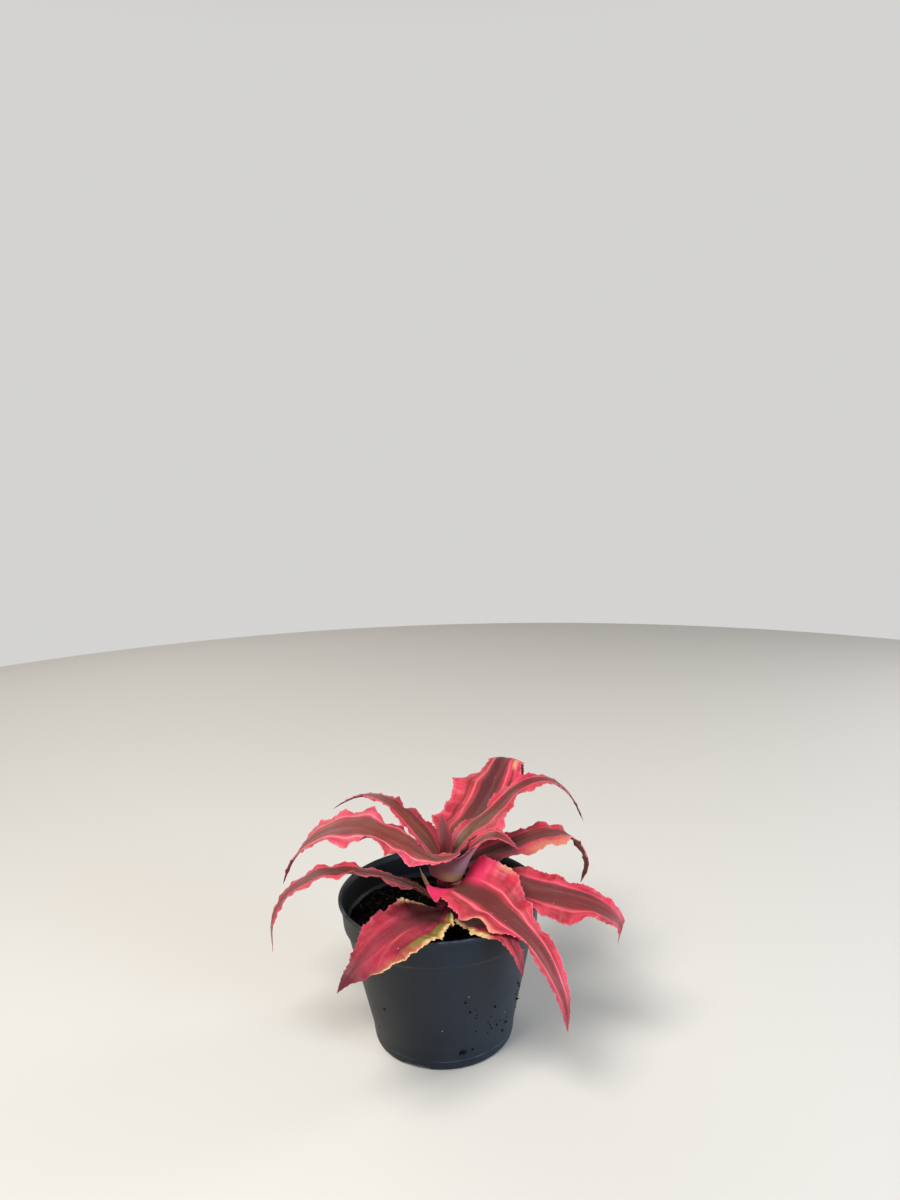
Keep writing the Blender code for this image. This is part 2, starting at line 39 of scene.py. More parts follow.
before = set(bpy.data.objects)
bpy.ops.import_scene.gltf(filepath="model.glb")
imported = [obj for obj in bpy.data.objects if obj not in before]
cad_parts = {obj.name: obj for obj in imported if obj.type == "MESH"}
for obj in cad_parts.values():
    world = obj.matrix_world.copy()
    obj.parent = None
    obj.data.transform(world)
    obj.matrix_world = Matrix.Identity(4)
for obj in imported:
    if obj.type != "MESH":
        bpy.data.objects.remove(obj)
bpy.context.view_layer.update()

# ---------------------------------------------------------------------------------------------- leaves
# stations: reach, height, drift, half width, roll, curl; left / right: margin waves; see part.py
LEAVES = [
    {
        "name": "leaf_back_tall",
        "azimuth": 66,
        "stations": [
            (4, 79, 0, 3.5, 0, 35),
            (16, 86.5, 0, 9, 0, 30),
            (30, 89, -1, 13, 0, 15),
            (46, 93, -1.3, 14, 0, 5),
            (62, 98, -0.6, 14, 0, 0),
            (76, 102.8, -0.5, 10.5, 0, 0),
            (86, 97, -2.5, 5, 0, 0),
            (91, 87, -5, 0, 0, 0),
        ],
        "left": [(10, 0), (20, -2), (30, 2), (40, -2), (52, 2.5), (62, -2), (70, -0.6), (80, -2.2)],
        "right": [(14, -2), (24, 2), (34, -2), (45, 2), (56, -2), (67, -0.4), (78, -2.2)],
        "wide_left": [(9, 0), (18, 5), (27, 1.5), (38, 2.5), (48, 3.5), (57, 6), (62, 1), (66, -4), (71, -5.3), (76, -2.5), (84, -1)],
        "wide_right": [(20, 1), (40, 0), (60, -0.5), (72, -2), (84, 0)],
    },
    {
        "name": "leaf_back_arching",
        "azimuth": 38,
        "stations": [
            (4, 82, 0, 3.3, 0, 30),
            (14, 90, -0.5, 8, 5, 25),
            (30, 97, -1.2, 9, 2, 10),
            (47, 103, 0.5, 7, 2, 5),
            (63, 102, 0, 4.8, 24, 5),
            (78, 91, 0, 2.7, 30, 0),
            (88, 74, 0, 0, 0, 0),
        ],
        "left": [(14, 1), (24, -2), (34, 2), (44, -1.5), (54, 1.5), (64, -1)],
        "right": [(12, 0), (20, -2), (27, 1.5), (34, -1), (42, 1.5), (49, -1.5), (60, 1)],
        "wide_left": [(10, -1), (17, -3.5), (22, -5.5), (27, -5), (32, -3.5), (38, -2.5), (43, 0), (48, -1.5), (60, -0.3)],
        "wide_right": [(6, -1.2), (10, -3.6), (14, -2.8), (18, 2), (22, 7), (26, 3.5), (29, -0.5), (36, -3), (40, -3), (44, -0.5), (49, -1.5), (56, -0.5)],
    },
    {
        "name": "leaf_right_back",
        "azimuth": 25,
        "stations": [
            (12.5, 76.8, 0, 5.6, 0, 20),
            (22, 79, 0, 10, 0, 20),
            (32, 80.3, 0, 10.8, 0, 15),
            (44, 82.3, 0, 10.8, 0, 10),
            (56, 81.8, 0, 9.5, 0, 5),
            (66, 77.5, 0, 7.5, 0, 5),
            (72, 70.5, 0, 5.3, 0, 0),
            (74.5, 62, 0, 3, 0, 0),
            (71, 53, 0, 0, 0, 0),
        ],
        "left": [(8, 0), (18, 0), (29, 0), (36, -0.5), (42.5, 2.5), (46.5, 0.5), (50.5, 2.5), (56, -1), (64, -1), (71, 0)],
        "right": [(8, -1), (16, 0), (24, -1.5), (33, -0.3), (40, -1.5), (48, 1), (56, 0), (62, -1)],
        "wide_left": [(20, -0.5), (30, -2.5), (36, -1.5), (43, -1.5), (50, -2), (56, -2.5), (64, -1.5), (74, -1)],
        "wide_right": [(14, 2), (20, 5), (26, 5.5), (31, 4), (36, 3), (42, 4.5), (47, 1.5), (52, -0.5), (58, -1.5), (64, -2), (72, -1)],
    },
    {
        "name": "leaf_right",
        "azimuth": -15,
        "stations": [
            (5, 62, 0, 4, 0, 20),
            (24, 72.7, 0, 10, 10, 15),
            (40, 70.4, 0, 12, 20, 10),
            (56, 68.3, 0, 12, 20, 5),
            (68, 65, 0.3, 9, 15, 5),
            (77, 57.5, 0.5, 4, 10, 0),
            (76, 49.5, 0.3, 0, 0, 0),
        ],
        "left": [(14, 2), (24, -2), (33, 1.5), (43, -1.5), (47, 0.5), (53, -1.5), (60, 0.5), (66, -1), (73, 0.8)],
        "right": [(10, -2), (19, 2), (29, -3), (38, 1.5), (46, -1.5), (55, -2), (63.5, 1.5), (70, -0.7)],
        "wide_left": [(30, -1), (44, -1.2), (51, -3), (60, -2), (68, 0)],
        "wide_right": [(38, -1), (48, -0.5), (56, 1.5), (60, 0.5), (66, -2), (74, -2), (82, -0.5)],
    },
    {
        "name": "leaf_front_right",
        "azimuth": -52,
        "stations": [
            (3, 69.5, -2, 11.5, 0, 50),
            (6.5, 70.5, -2, 12.3, 0, 53),
            (12.5, 73.5, -2, 13, 0, 62),
            (20, 74.5, -2, 15, 0, 60),
            (30, 74.8, -2, 15, 0, 42),
            (40, 73.3, -2.3, 13.5, 0, 22),
            (50, 69.3, -0.7, 11, 0, 12),
            (60, 62.3, 1.3, 7.3, 0, 8),
            (67, 54.3, 2, 5.2, 0, 5),
            (71.5, 45, 2.8, 3, 0, 0),
            (73, 33, 3.2, 0, 0, 0),
        ],
        "left": [(8.1, 0), (16.1, 1), (25.1, -1), (33.1, 2), (40.1, -1.5), (46.1, 1.5), (54.1, -1.5), (63.1, 1), (74.1, 0.7)],
        "right": [(4.1, 0), (9.1, -2.2), (13.1, 0), (20.1, -1), (26.1, -1), (32.6, -3), (37.6, 1), (42.6, -1.5), (49.1, 0.5), (55.1, 1), (60.1, 0), (68.1, 0.5)],
        "wide_left": [(0, -9), (2.1, -8.3), (6.1, -4.6), (10.1, 1), (14.1, 4.2), (20.1, 2.5), (30.1, 3), (36.1, 0.5), (40.6, 0), (44.1, 0.5), (49.1, -2.5), (54.1, -1), (60.1, 0)],
        "wide_right": [(0, 0.3), (3, 0.8), (7.1, 0.8), (12.1, -1.8), (17.1, -3), (22.1, -1.5), (27.1, -0.3), (33.1, 0.5), (38.1, -2.5), (43.1, -1.5), (48.1, -3.5), (52.1, -6), (56.1, -5.5), (60.1, -3.5), (64.1, -1.5), (72.1, -1.2), (82.1, -0.5)],
        "flat_right": [(0, 1), (5.1, 0.9), (10.1, -0.1), (20.1, -0.1), (34.1, 0), (47.1, 0.6)],
    },
    {
        "name": "leaf_front_low",
        "azimuth": -58.5,
        "stations": [
            (7, 58.5, 0, 2.5, 0, 30),
            (18, 61.5, 0, 7, 5, 20),
            (32, 66.7, -0.8, 8, 8, 10),
            (43, 69.3, -1, 6.5, 6, 5),
            (51, 67, -0.8, 4, 0, 0),
            (56.5, 61, -0.3, 2.2, 0, 0),
            (58.5, 53.8, 0.2, 0, 0, 0),
        ],
        "left": [(12, 1), (22, -1), (32, 1), (43, -1)],
        "right": [(10, -1), (17, 1), (25, -0.5), (29, 0.3), (36, -0.8), (44, 0)],
        "wide_right": [(12, 0), (22, 1), (28, 1), (36, 4.5), (41, 3), (46, 0), (52, -0.7)],
    },
    {
        "name": "leaf_front_left",
        "azimuth": 238,
        "stations": [
            (5, 58.5, 0, 4, 0, 30),
            (16, 62.5, 1, 11, -6, 20),
            (30, 67, 2.5, 12.5, -9, 8),
            (46, 70.2, 3.5, 12, -9, 3),
            (60, 69.2, 3, 8, -6, 0),
            (70, 65.2, 1.5, 4, 0, 0),
            (77, 58.8, -0.3, 0, 0, 0),
        ],
        "left": [(10, 1), (17, -1), (24, 1.5), (32, -0.5), (41, 2.2), (52, -1), (63, 1)],
        "right": [(10, 1), (20, 3), (30, -1), (38, 2), (48, -1), (58, 1)],
        "wide_left": [(10, 1), (20, 3), (33, 4.5), (42, 6), (49, 4.3), (56, 5), (63, 6.5), (69, 4), (74, 1)],
        "wide_right": [(20, -1), (30, -0.5), (40, -2), (48, 0), (58, -2), (66, -2)],
    },
    {
        "name": "leaf_left_low",
        "azimuth": 190,
        "stations": [
            (4, 62, 0, 3.5, 0, 30),
            (20, 73, 0, 6.5, 0, 20),
            (38, 79.3, 0, 7, 5, 10),
            (55, 80.4, 0, 8, 8, 5),
            (68, 74, 0, 6.5, 5, 0),
            (76, 62, 0, 3.5, 0, 0),
            (77, 47, 0, 0, 0, 0),
        ],
        "left": [(12, 1), (20, -1.5), (26, -1), (31.5, 1.5), (36.5, 0), (42, 2), (49.5, -1.5), (54, 0.5), (62, -1), (70, 0.5), (80, -0.5)],
        "right": [(14, 0.5), (22, -0.5), (30, 0.3), (35, -1), (42.3, 1.8), (50, -0.5), (56.5, 1.5), (62, -0.5), (72, 0.5)],
        "wide_right": [(0, -1), (8, -1.5), (20, -3), (28, -2.5), (34, -0.8), (45, 0)],
    },
    {
        "name": "leaf_left_high",
        "azimuth": 162,
        "stations": [
            (-11, 90, 10.6, 0.7, -20, 0),
            (-7, 88.2, 12, 2.2, -24, 5),
            (-1.5, 86.7, 12, 4, -26, 10),
            (5, 87.8, 10.5, 6.5, -25, 20),
            (13, 89.5, 7, 9.5, -20, 25),
            (24, 91, 3.3, 11, -15, 20),
            (40, 93, 1, 12, -18, 15),
            (54, 90, 2, 11, -15, 5),
            (69, 79.5, 0.7, 7, -10, 0),
            (77, 69.5, -0.5, 4, 0, 0),
            (81.5, 59, -0.5, 0, 0, 0),
        ],
        "left": [(11.5, 0), (18.5, -2), (24.5, 1.5), (31.5, -2.5), (42.5, 3.5), (49.5, 0), (57.5, -2.5), (67.5, 2), (75.5, 0), (87.5, 0)],
        "right": [(15, 0), (20, 1.3), (24, 1.3), (28, -0.2), (33.5, -0.7), (38.5, -1), (45.5, -1), (50.5, 1.5), (57.5, -2), (64.5, 0.8), (71.5, -0.8), (79.5, 1)],
        "wide_left": [(0, 0), (4.5, -0.6), (9, -1.6), (13, -1), (17.5, 1), (27.5, 2.5), (35.5, -2), (43.5, 0), (51.5, 0), (58.5, 2), (65.5, 0.5), (73.5, -1.5), (83.5, -2), (97.5, -1.5)],
        "wide_right": [(7.5, 0), (16.5, -5.5), (25.5, -7), (31.5, -6), (37.5, -3), (44.5, -5.5), (48.5, -3), (51.5, -0.5), (57.5, -2), (63.5, -0.3), (71.5, 0.5), (79.5, 3), (87.5, 2), (97.5, -0.5)],
    },
    {
        "name": "leaf_left_arching",
        "azimuth": 134,
        "stations": [
            (4, 81.5, 0.3, 3.2, 0, 30),
            (12, 90.2, 2.2, 6.3, 0, 25),
            (24, 96.3, 2, 6, 0, 10),
            (40, 99.6, 1.7, 5, 5, 5),
            (58, 95.6, 0.5, 3.3, -6, 0),
            (74, 87.3, 0, 1.7, -6, 0),
            (81, 82.5, 0, 0, 0, 0),
        ],
        "left": [(14, 1), (24, -1), (34, 1), (45, -1), (55, 1)],
        "right": [(10, -1), (18, -1), (23, 1.3), (29.5, -1.5), (35, 1.3), (42, -0.5)],
        "wide_left": [(3, 0), (7, 0.4), (12, 1.7), (18, 0), (24, -2), (32, -1.5), (38, -0.8), (46, -1.2)],
        "wide_right": [(8, 1.5), (14, 1), (20, -0.5), (26, 0.5), (30, -1.5), (36, 0)],
    },
    {
        "name": "leaf_heart",
        "azimuth": 90,
        "stations": [
            (0, 83.5, -1, 3, 0, 50),
            (0, 90, -0.8, 3.3, 0, 45),
            (1, 96, 0, 2.5, 0, 30),
            (3, 101.5, 0.5, 0, 0, 0),
        ],
    },
    {
        "name": "leaf_centre_curl",
        "azimuth": -22,
        "stations": [
            (7.5, 73.6, 0, 12.5, 0, 70),
            (9.3, 77.6, 0, 14.5, 0, 78),
            (11, 82, 0, 14, 0, 74),
            (14, 87.3, 0, 10.5, 0, 60),
            (18.5, 92.5, 0, 6.6, 0, 42),
            (24, 95.3, 0, 4.2, 3, 20),
            (30, 94, 0, 2.2, 5, 5),
            (35, 90.6, 0, 0, 0, 0),
        ],
        "left": [(10.8, 0), (18.8, -1), (28.8, 0.8), (38.8, -0.5)],
        "right": [(10.8, 0), (22.8, -1), (32.8, 0.5)],
        "wide_left": [(0, -7), (6.8, -5.5), (10.8, -3.8), (14.8, -2.5), (18.8, -1), (26.8, 0.4), (32.8, 0)],
        "wide_right": [(0, 4.5), (4.8, 5.5), (7.8, 2.5), (10.8, -2.2), (14.8, -4.6), (19.8, -3), (25.8, -1), (30.8, 0)],
    },
    {
        "name": "dry_leaf_base",
        "azimuth": 200,
        "stations": [
            (7.5, 67.5, 0, 2, 0, 30),
            (9, 71.5, 0, 2.6, 0, 40),
            (10.3, 75.5, 0, 2, 0, 30),
            (11.5, 79.5, 0, 0, 0, 0),
        ],
    },
]


def smooth_curve(at, values, x):
    at = np.asarray(at, float)
    values = np.asarray(values, float).reshape(len(at), -1)
    slope = np.zeros_like(values)
    slope[0] = (values[1] - values[0]) / (at[1] - at[0])
    slope[-1] = (values[-1] - values[-2]) / (at[-1] - at[-2])
    for i in range(1, len(at) - 1):
        before, after = at[i] - at[i - 1], at[i + 1] - at[i]
        slope[i] = ((values[i] - values[i - 1]) / before * after
                    + (values[i + 1] - values[i]) / after * before) / (before + after)
    i = np.clip(np.searchsorted(at, x, side="right") - 1, 0, len(at) - 2)
    h = (at[i + 1] - at[i])[:, None]
    t = ((x - at[i]) / (at[i + 1] - at[i]))[:, None]
    return ((2 * t**3 - 3 * t**2 + 1) * values[i] + (t**3 - 2 * t**2 + t) * h * slope[i]
            + (3 * t**2 - 2 * t**3) * values[i + 1] + (t**3 - t**2) * h * slope[i + 1])


def eased(pairs, x, length, end=0.0):
    if not pairs:
        return np.full_like(x, end)
    at = [p for p, _ in pairs]
    to = [v for _, v in pairs]
    if at[0] > 0:
        at, to = [0.0] + at, [0.0] + to
    if at[-1] < length:
        at, to = at + [length], to + [end]
    at, to = np.array(at, float), np.array(to, float)
    i = np.clip(np.searchsorted(at, x, side="right") - 1, 0, len(at) - 2)
    t = np.clip((x - at[i]) / (at[i + 1] - at[i]), 0, 1)
    t = t * t * (3 - 2 * t)
    return to[i] + (to[i + 1] - to[i]) * t


def step(edge0, edge1, x):
    t = np.clip((x - edge0) / (edge1 - edge0), 0.0, 1.0)
    return t * t * (3 - 2 * t)


def teeth(length, first, spacing, height, rng):
    """Small forward-pointing spines along a margin, as (position, height)."""
    at, found = first, []
    while at < length - 1.5:
        found.append((at, height * rng.uniform(0.55, 1.15)))
        at += spacing * rng.uniform(0.65, 1.4)
    return found


def leaf_grid(leaf, spacing=0.36, columns=26, extend=3.0):
    """The fine middle surface of a leaf with its spines, in millimetres, and its coordinates along and across."""
    rng = np.random.default_rng(sum(map(ord, leaf["name"])) * 7 + 11)
    table = np.array(leaf["stations"], float)
    angle = math.radians(leaf["azimuth"])
    out = np.array([math.cos(angle), math.sin(angle), 0.0])
    side = np.array([-math.sin(angle), math.cos(angle), 0.0])
    path = (np.array([STEM_X, STEM_Y, 0.0]) + table[:, 0:1] * out + table[:, 2:3] * side
            + table[:, 1:2] * np.array([0.0, 0.0, 1.0]))
    chord = np.concatenate([[0.0], np.cumsum(np.linalg.norm(np.diff(path, axis=0), axis=1))])
    fine = np.linspace(0.0, chord[-1], 400)
    curve = smooth_curve(chord, path, fine)
    arc = np.concatenate([[0.0], np.cumsum(np.linalg.norm(np.diff(curve, axis=0), axis=1))])
    length = arc[-1]
    rows = int(round((length + extend) / spacing))
    s = np.linspace(-extend, length, rows + 1)
    x = np.interp(np.maximum(s, 0.0), arc, fine)
    centre = smooth_curve(chord, path, x)
    along = (smooth_curve(chord, path, np.minimum(x + 0.05, chord[-1]))
             - smooth_curve(chord, path, np.maximum(x - 0.05, 0.0)))
    along /= np.linalg.norm(along, axis=1)[:, None]
    centre += along * np.minimum(s, 0.0)[:, None]
    half = np.maximum(smooth_curve(chord, table[:, 3], x)[:, 0], 0.02)
    half *= 1.0 - 0.25 * step(0.0, -extend - 0.01, s)
    roll = np.radians(smooth_curve(chord, table[:, 4], x)[:, 0])
    curl = np.radians(smooth_curve(chord, table[:, 5], x)[:, 0])
    curl = np.where(np.abs(curl) < 1e-3, 1e-3, curl)
    level = side - (along @ side)[:, None] * along
    level /= np.linalg.norm(level, axis=1)[:, None]
    across = level * np.cos(roll)[:, None] + np.cross(along, level) * np.sin(roll)[:, None]
    up = np.cross(along, across)
    fade = np.clip(half / 4.0, 0.0, 1.0)
    at = np.maximum(s, 0.0)
    rise = (eased(leaf.get("right"), at, length) * fade, eased(leaf.get("left"), at, length) * fade)
    wide = (eased(leaf.get("wide_right"), at, length) * fade, eased(leaf.get("wide_left"), at, length) * fade)
    share = eased(leaf["flat_right"], at, length, 1.0) if "flat_right" in leaf else np.ones_like(s)
    # fine ruffles and an uneven edge, different on each side
    ruffle, uneven, spine = [], [], []
    for k in range(2):
        a, b, c, d = rng.uniform(0, math.tau, 4)
        wave = (0.30 * np.sin(at / 7.3 * math.tau + a) + 0.22 * np.sin(at / 4.1 * math.tau + b)) * fade
        ruffle.append(wave * step(4.0, 14.0, at) * leaf.get("ruffle", 1.0))
        uneven.append((0.16 * np.sin(at / 5.3 * math.tau + c) + 0.10 * np.sin(at / 2.3 * math.tau + d)) * fade)
        height = np.zeros_like(s)
        size = leaf.get("spine", 0.62)
        for place, tall in teeth(length, leaf.get("bare", 5.0), leaf.get("spine_gap", 2.1), size, rng):
            before = np.clip(1.0 - (place - at) / 0.85, 0.0, 1.0) * (at <= place)
            after = np.clip(1.0 - (at - place) / 0.36, 0.0, 1.0) * (at > place)
            height = np.maximum(height, tall * np.maximum(before, after) ** 1.7)
        spine.append(height * np.clip(half / 2.5, 0.15, 1.0))
    inner = np.linspace(-0.955, 0.955, columns - 1)
    places = np.concatenate([[-1.0], inner, [1.0]])
    grid = np.zeros((rows + 1, len(places), 3))
    normals = np.zeros_like(grid)
    for j, v in enumerate(places):
        k = int(v > 0)
        bend = curl if k else curl * share
        radius = half / np.where(np.abs(bend) < 1e-3, 1e-3, bend)
        reach = (half + wide[k] * abs(v) + uneven[k] * abs(v) ** 6) * v
        if abs(v) == 1.0:
            reach = reach + spine[k] * v
        turn = reach / radius
        normal = up * np.cos(turn)[:, None] - across * np.sin(turn)[:, None]
        lift = rise[k] * abs(v) ** CRIMP + ruffle[k] * abs(v) ** 4
        lift = lift - leaf.get("channel", 0.35) * fade * np.exp(-((v / 0.16) ** 2))
        grid[:, j] = (centre + across * (radius * np.sin(turn))[:, None]
                      + up * (radius * (1 - np.cos(turn)))[:, None] + normal * lift[:, None])
    du = np.gradient(grid, axis=0)
    dv = np.gradient(grid, axis=1)
    normals = np.cross(du, dv)
    normals /= np.maximum(np.linalg.norm(normals, axis=2, keepdims=True), 1e-9)
    tooth = np.zeros(grid.shape[:2])
    tooth[:, 0], tooth[:, -1] = spine[0], spine[1]
    return grid, normals, s, places, half, length, tooth


def grid_solid(name, grid, normals, thick, values):
    """A closed thin body from a middle surface; values are named per-point numbers for its material."""
    rows, cols = grid.shape[:2]
    top = grid + normals * thick[..., None] / 2
    low = grid - normals * thick[..., None] / 2
    points = np.concatenate([top.reshape(-1, 3), low.reshape(-1, 3)]) * MM
    index = np.arange(rows * cols).reshape(rows, cols)
    under = index + rows * cols
    a, b, c, d = index[:-1, :-1], index[1:, :-1], index[1:, 1:], index[:-1, 1:]
    faces = [np.stack([a, b, c, d], -1).reshape(-1, 4)]
    a, b, c, d = under[:-1, :-1], under[:-1, 1:], under[1:, 1:], under[1:, :-1]
    faces.append(np.stack([a, b, c, d], -1).reshape(-1, 4))
    for (t, u) in ((index[:, 0], under[:, 0]), (index[::-1, -1], under[::-1, -1]),
                   (index[0, ::-1], under[0, ::-1]), (index[-1, :], under[-1, :])):
        faces.append(np.stack([t[:-1], u[:-1], u[1:], t[1:]], -1))
    faces = np.concatenate(faces)
    mesh = bpy.data.meshes.new(name)
    mesh.vertices.add(len(points))
    mesh.vertices.foreach_set("co", points.ravel())
    mesh.loops.add(faces.size)
    mesh.loops.foreach_set("vertex_index", faces.ravel())
    mesh.polygons.add(len(faces))
    mesh.polygons.foreach_set("loop_start", np.arange(0, faces.size, 4))
    mesh.update(calc_edges=True)
    mesh.validate()
    mesh.shade_smooth()
    mesh.set_sharp_from_angle(angle=math.radians(55))
    for key, value in values.items():
        both = np.concatenate([np.broadcast_to(value, grid.shape[:2]).ravel()] * 2)
        made = mesh.attributes.new(key, "FLOAT", "POINT")
        made.data.foreach_set("value", both.astype(np.float32))
    made = mesh.attributes.new("under", "FLOAT", "POINT")
    made.data.foreach_set("value", np.repeat([0.0, 1.0], rows * cols).astype(np.float32))
    return mesh


def put(name, mesh, material, *nodes, slot=None):
    piece = bpy.data.objects.new(name, mesh)
    bpy.context.scene.collection.objects.link(piece)
    if material is not None:
        mesh.materials.clear()
        mesh.materials.append(material)
    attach(piece, "root")
    if nodes:
        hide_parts(*nodes)
    return piece
# What sets one leaf apart from the others. dry, lime and shade are lanes on the leaf, as are the magenta lanes; shade
# and magenta lanes are painted shade, where the leaf lies in shadow:
# (v start, v full, v to, v end, s start, s full, s to, s end, strength), v from -1 (right) to 1 (left), s in mm
LOOKS = {
    "leaf_back_tall": {"stripe": 0.75, "line": 0.55, "band": 0.36, "green": 0.55, "green_to": 45.0, "dry": [(-0.86, -0.74, -0.62, -0.55, 66, 70, 80, 84, 0.6)], "tones": {"centre": (78, 40, 34)}, "shade": [(-0.34, -0.14, 0.14, 0.34, 16, 30, 66, 78, 0.36)]},
    "leaf_back_arching": {"green": 0.6, "green_to": 40.0, "band": 0.36, "line": 0.4, "shade": [(0.35, 0.7, 1.2, 1.3, -6, -5, 6, 12, 0.5)]},
    "leaf_right_back": {"dry": [(-1.1, -1.05, -0.80, -0.50, 20, 28, 50, 60, 0.28)], "brown": 1.0, "stripe": 0.2, "line": 0.2, "crimson": 0.7, "shade": [(-1.1, -1.05, 0.1, 0.6, -6, -5, 14, 26, 0.55)], "tones": {"under": (136, 84, 66), "scurf": (176, 132, 112)}},
    "leaf_right": {"band": 0.46, "stripe": 0.15, "line": 0.35, "crimson": 0.7},
    "leaf_front_right": {"ember": 0.75, "stripe": 0.55, "line": 0.75, "band": 0.38, "green": 0.2, "painted_shade_magenta": [(0.15, 0.45, 1.2, 1.3, -6, -5, 14, 26, 0.9), (-1.2, -1.15, -0.45, -0.15, -6, -5, 9, 15, 0.9)], "shade": [(-0.5, -0.1, 0.35, 0.6, -6, -5, 3, 9, 0.75)], "dry": [(-1.1, -1.05, -0.92, -0.78, 31, 35, 43, 47, 0.42), (0.88, 0.94, 1.1, 1.2, 20, 23, 27, 31, 0.35)]},
    "leaf_front_low": {"stripe": 0.0, "line": 0.1, "brown": 0.6, "crimson": 0.9, "dry": [(-1.1, -1.05, -0.86, -0.76, 10, 14, 40, 44, 0.95)], "shade": [(-1.1, -1.0, 0.75, 1.0, -5, -4, 34, 60, 0.4), (-0.7, -0.4, 0.5, 0.8, 34, 44, 80, 85, 0.35)]},
    "leaf_front_left": {"edge": 0.15, "ruffle": 1.2, "line": 0.15, "stripe": 0.15, "brown": 0.6, "band": 0.30, "crimson": 0.4, "tip": 0.9, "tips": 0.8, "tones": {"leaf_green": (104, 112, 34), "maroon": (56, 9, 20), "spine": (70, 30, 26), "pink": (184, 46, 70), "coral": (160, 38, 54), "pale": (214, 96, 112), "centre": (120, 34, 46), "crimson": (112, 18, 34), "tip": (96, 16, 34)}, "dry": [(0.90, 0.945, 1.05, 1.1, 5, 9, 42, 46, 0.95), (0.95, 0.975, 1.05, 1.1, 40, 46, 62, 68, 0.9), (-1.1, -1.05, -0.92, -0.84, 2, 5, 18, 24, 0.9)], "lime": [(0.72, 0.80, 0.89, 0.93, 4, 8, 44, 52, 0.9), (0.86, 0.89, 0.94, 0.96, 40, 46, 60, 66, 0.7)], "shade": [(-1, -0.9, 0.55, 0.72, -5, -4, 16, 40, 0.9), (0.64, 0.69, 0.72, 0.77, 4, 8, 50, 60, 0.55), (-1.2, -1.15, 1.2, 1.3, 56, 76, 90, 95, 0.5)]},
    "leaf_left_low": {"brown": 1.0, "band": 0.60, "line": 0.3, "stripe": 0.0, "crimson": 0.8, "shade": [(-1.2, -1.15, 1.2, 1.3, -6, -5, 18, 40, 0.45)], "tones": {"under": (150, 112, 84), "scurf": (176, 140, 118)}},
    "leaf_left_high": {"stripe": 0.35, "line": 0.6, "brown": 1.0, "band": 0.52,  "extend": 0.0, "green": 0.15, "tones": {"pink": (222, 74, 100), "coral": (204, 66, 76), "pale": (248, 150, 160), "centre": (122, 58, 48), "under": (132, 22, 48), "under_green": (132, 30, 50)}, "scurf": 0.25, "shade": [(-1.1, -1.05, -0.2, 0.3, -6, -5, 20, 34, 0.4)]},
    "leaf_left_arching": {"green": 0.35, "stripe": 0.1, "brown": 1.0, "band": 0.55, "line": 0.3, "tones": {"centre": (108, 48, 38)}, "shade": [(-1.2, -1.15, -0.5, -0.2, -6, -5, 34, 50, 0.55)]},
    "leaf_heart": {"ember": 0.15, "brown": 0.75, "band": 0.62, "spine": 0.2, "stripe": 0.0, "line": 0.0, "edge": 0.0, "scurf": 0.25, "tones": {"pink": (150, 46, 60), "coral": (138, 48, 56), "centre": (112, 48, 54), "olive": (104, 60, 52), "pale": (190, 96, 104), "under": (140, 66, 68), "under_green": (140, 70, 66)}},
    "leaf_centre_curl": {"extend": 0.6, "green": 0.8, "scurf": 0.8, "brown": 0.9, "band": 0.62, "line": 0.35, "crimson": 0.3, "shade": [(-0.9, -0.6, 0.45, 0.75, -6, -5, 13, 19, 0.7)], "sheath": True},
    "dry_leaf_base": {"spine": 0.3, "dry": [(-2, -1.5, 2, 3, -5, -4, 90, 95, 0.85)], "lime": []},
}


# ------------------------------------------------------------------------------------------- materials
def rgb(r, g, b):
    """A colour given in 0 to 255 display values, as the shader's linear values."""
    found = []
    for c in (r, g, b):
        c /= 255.0
        found.append(c / 12.92 if c <= 0.04045 else ((c + 0.055) / 1.055) ** 2.4)
    return (*found, 1.0)


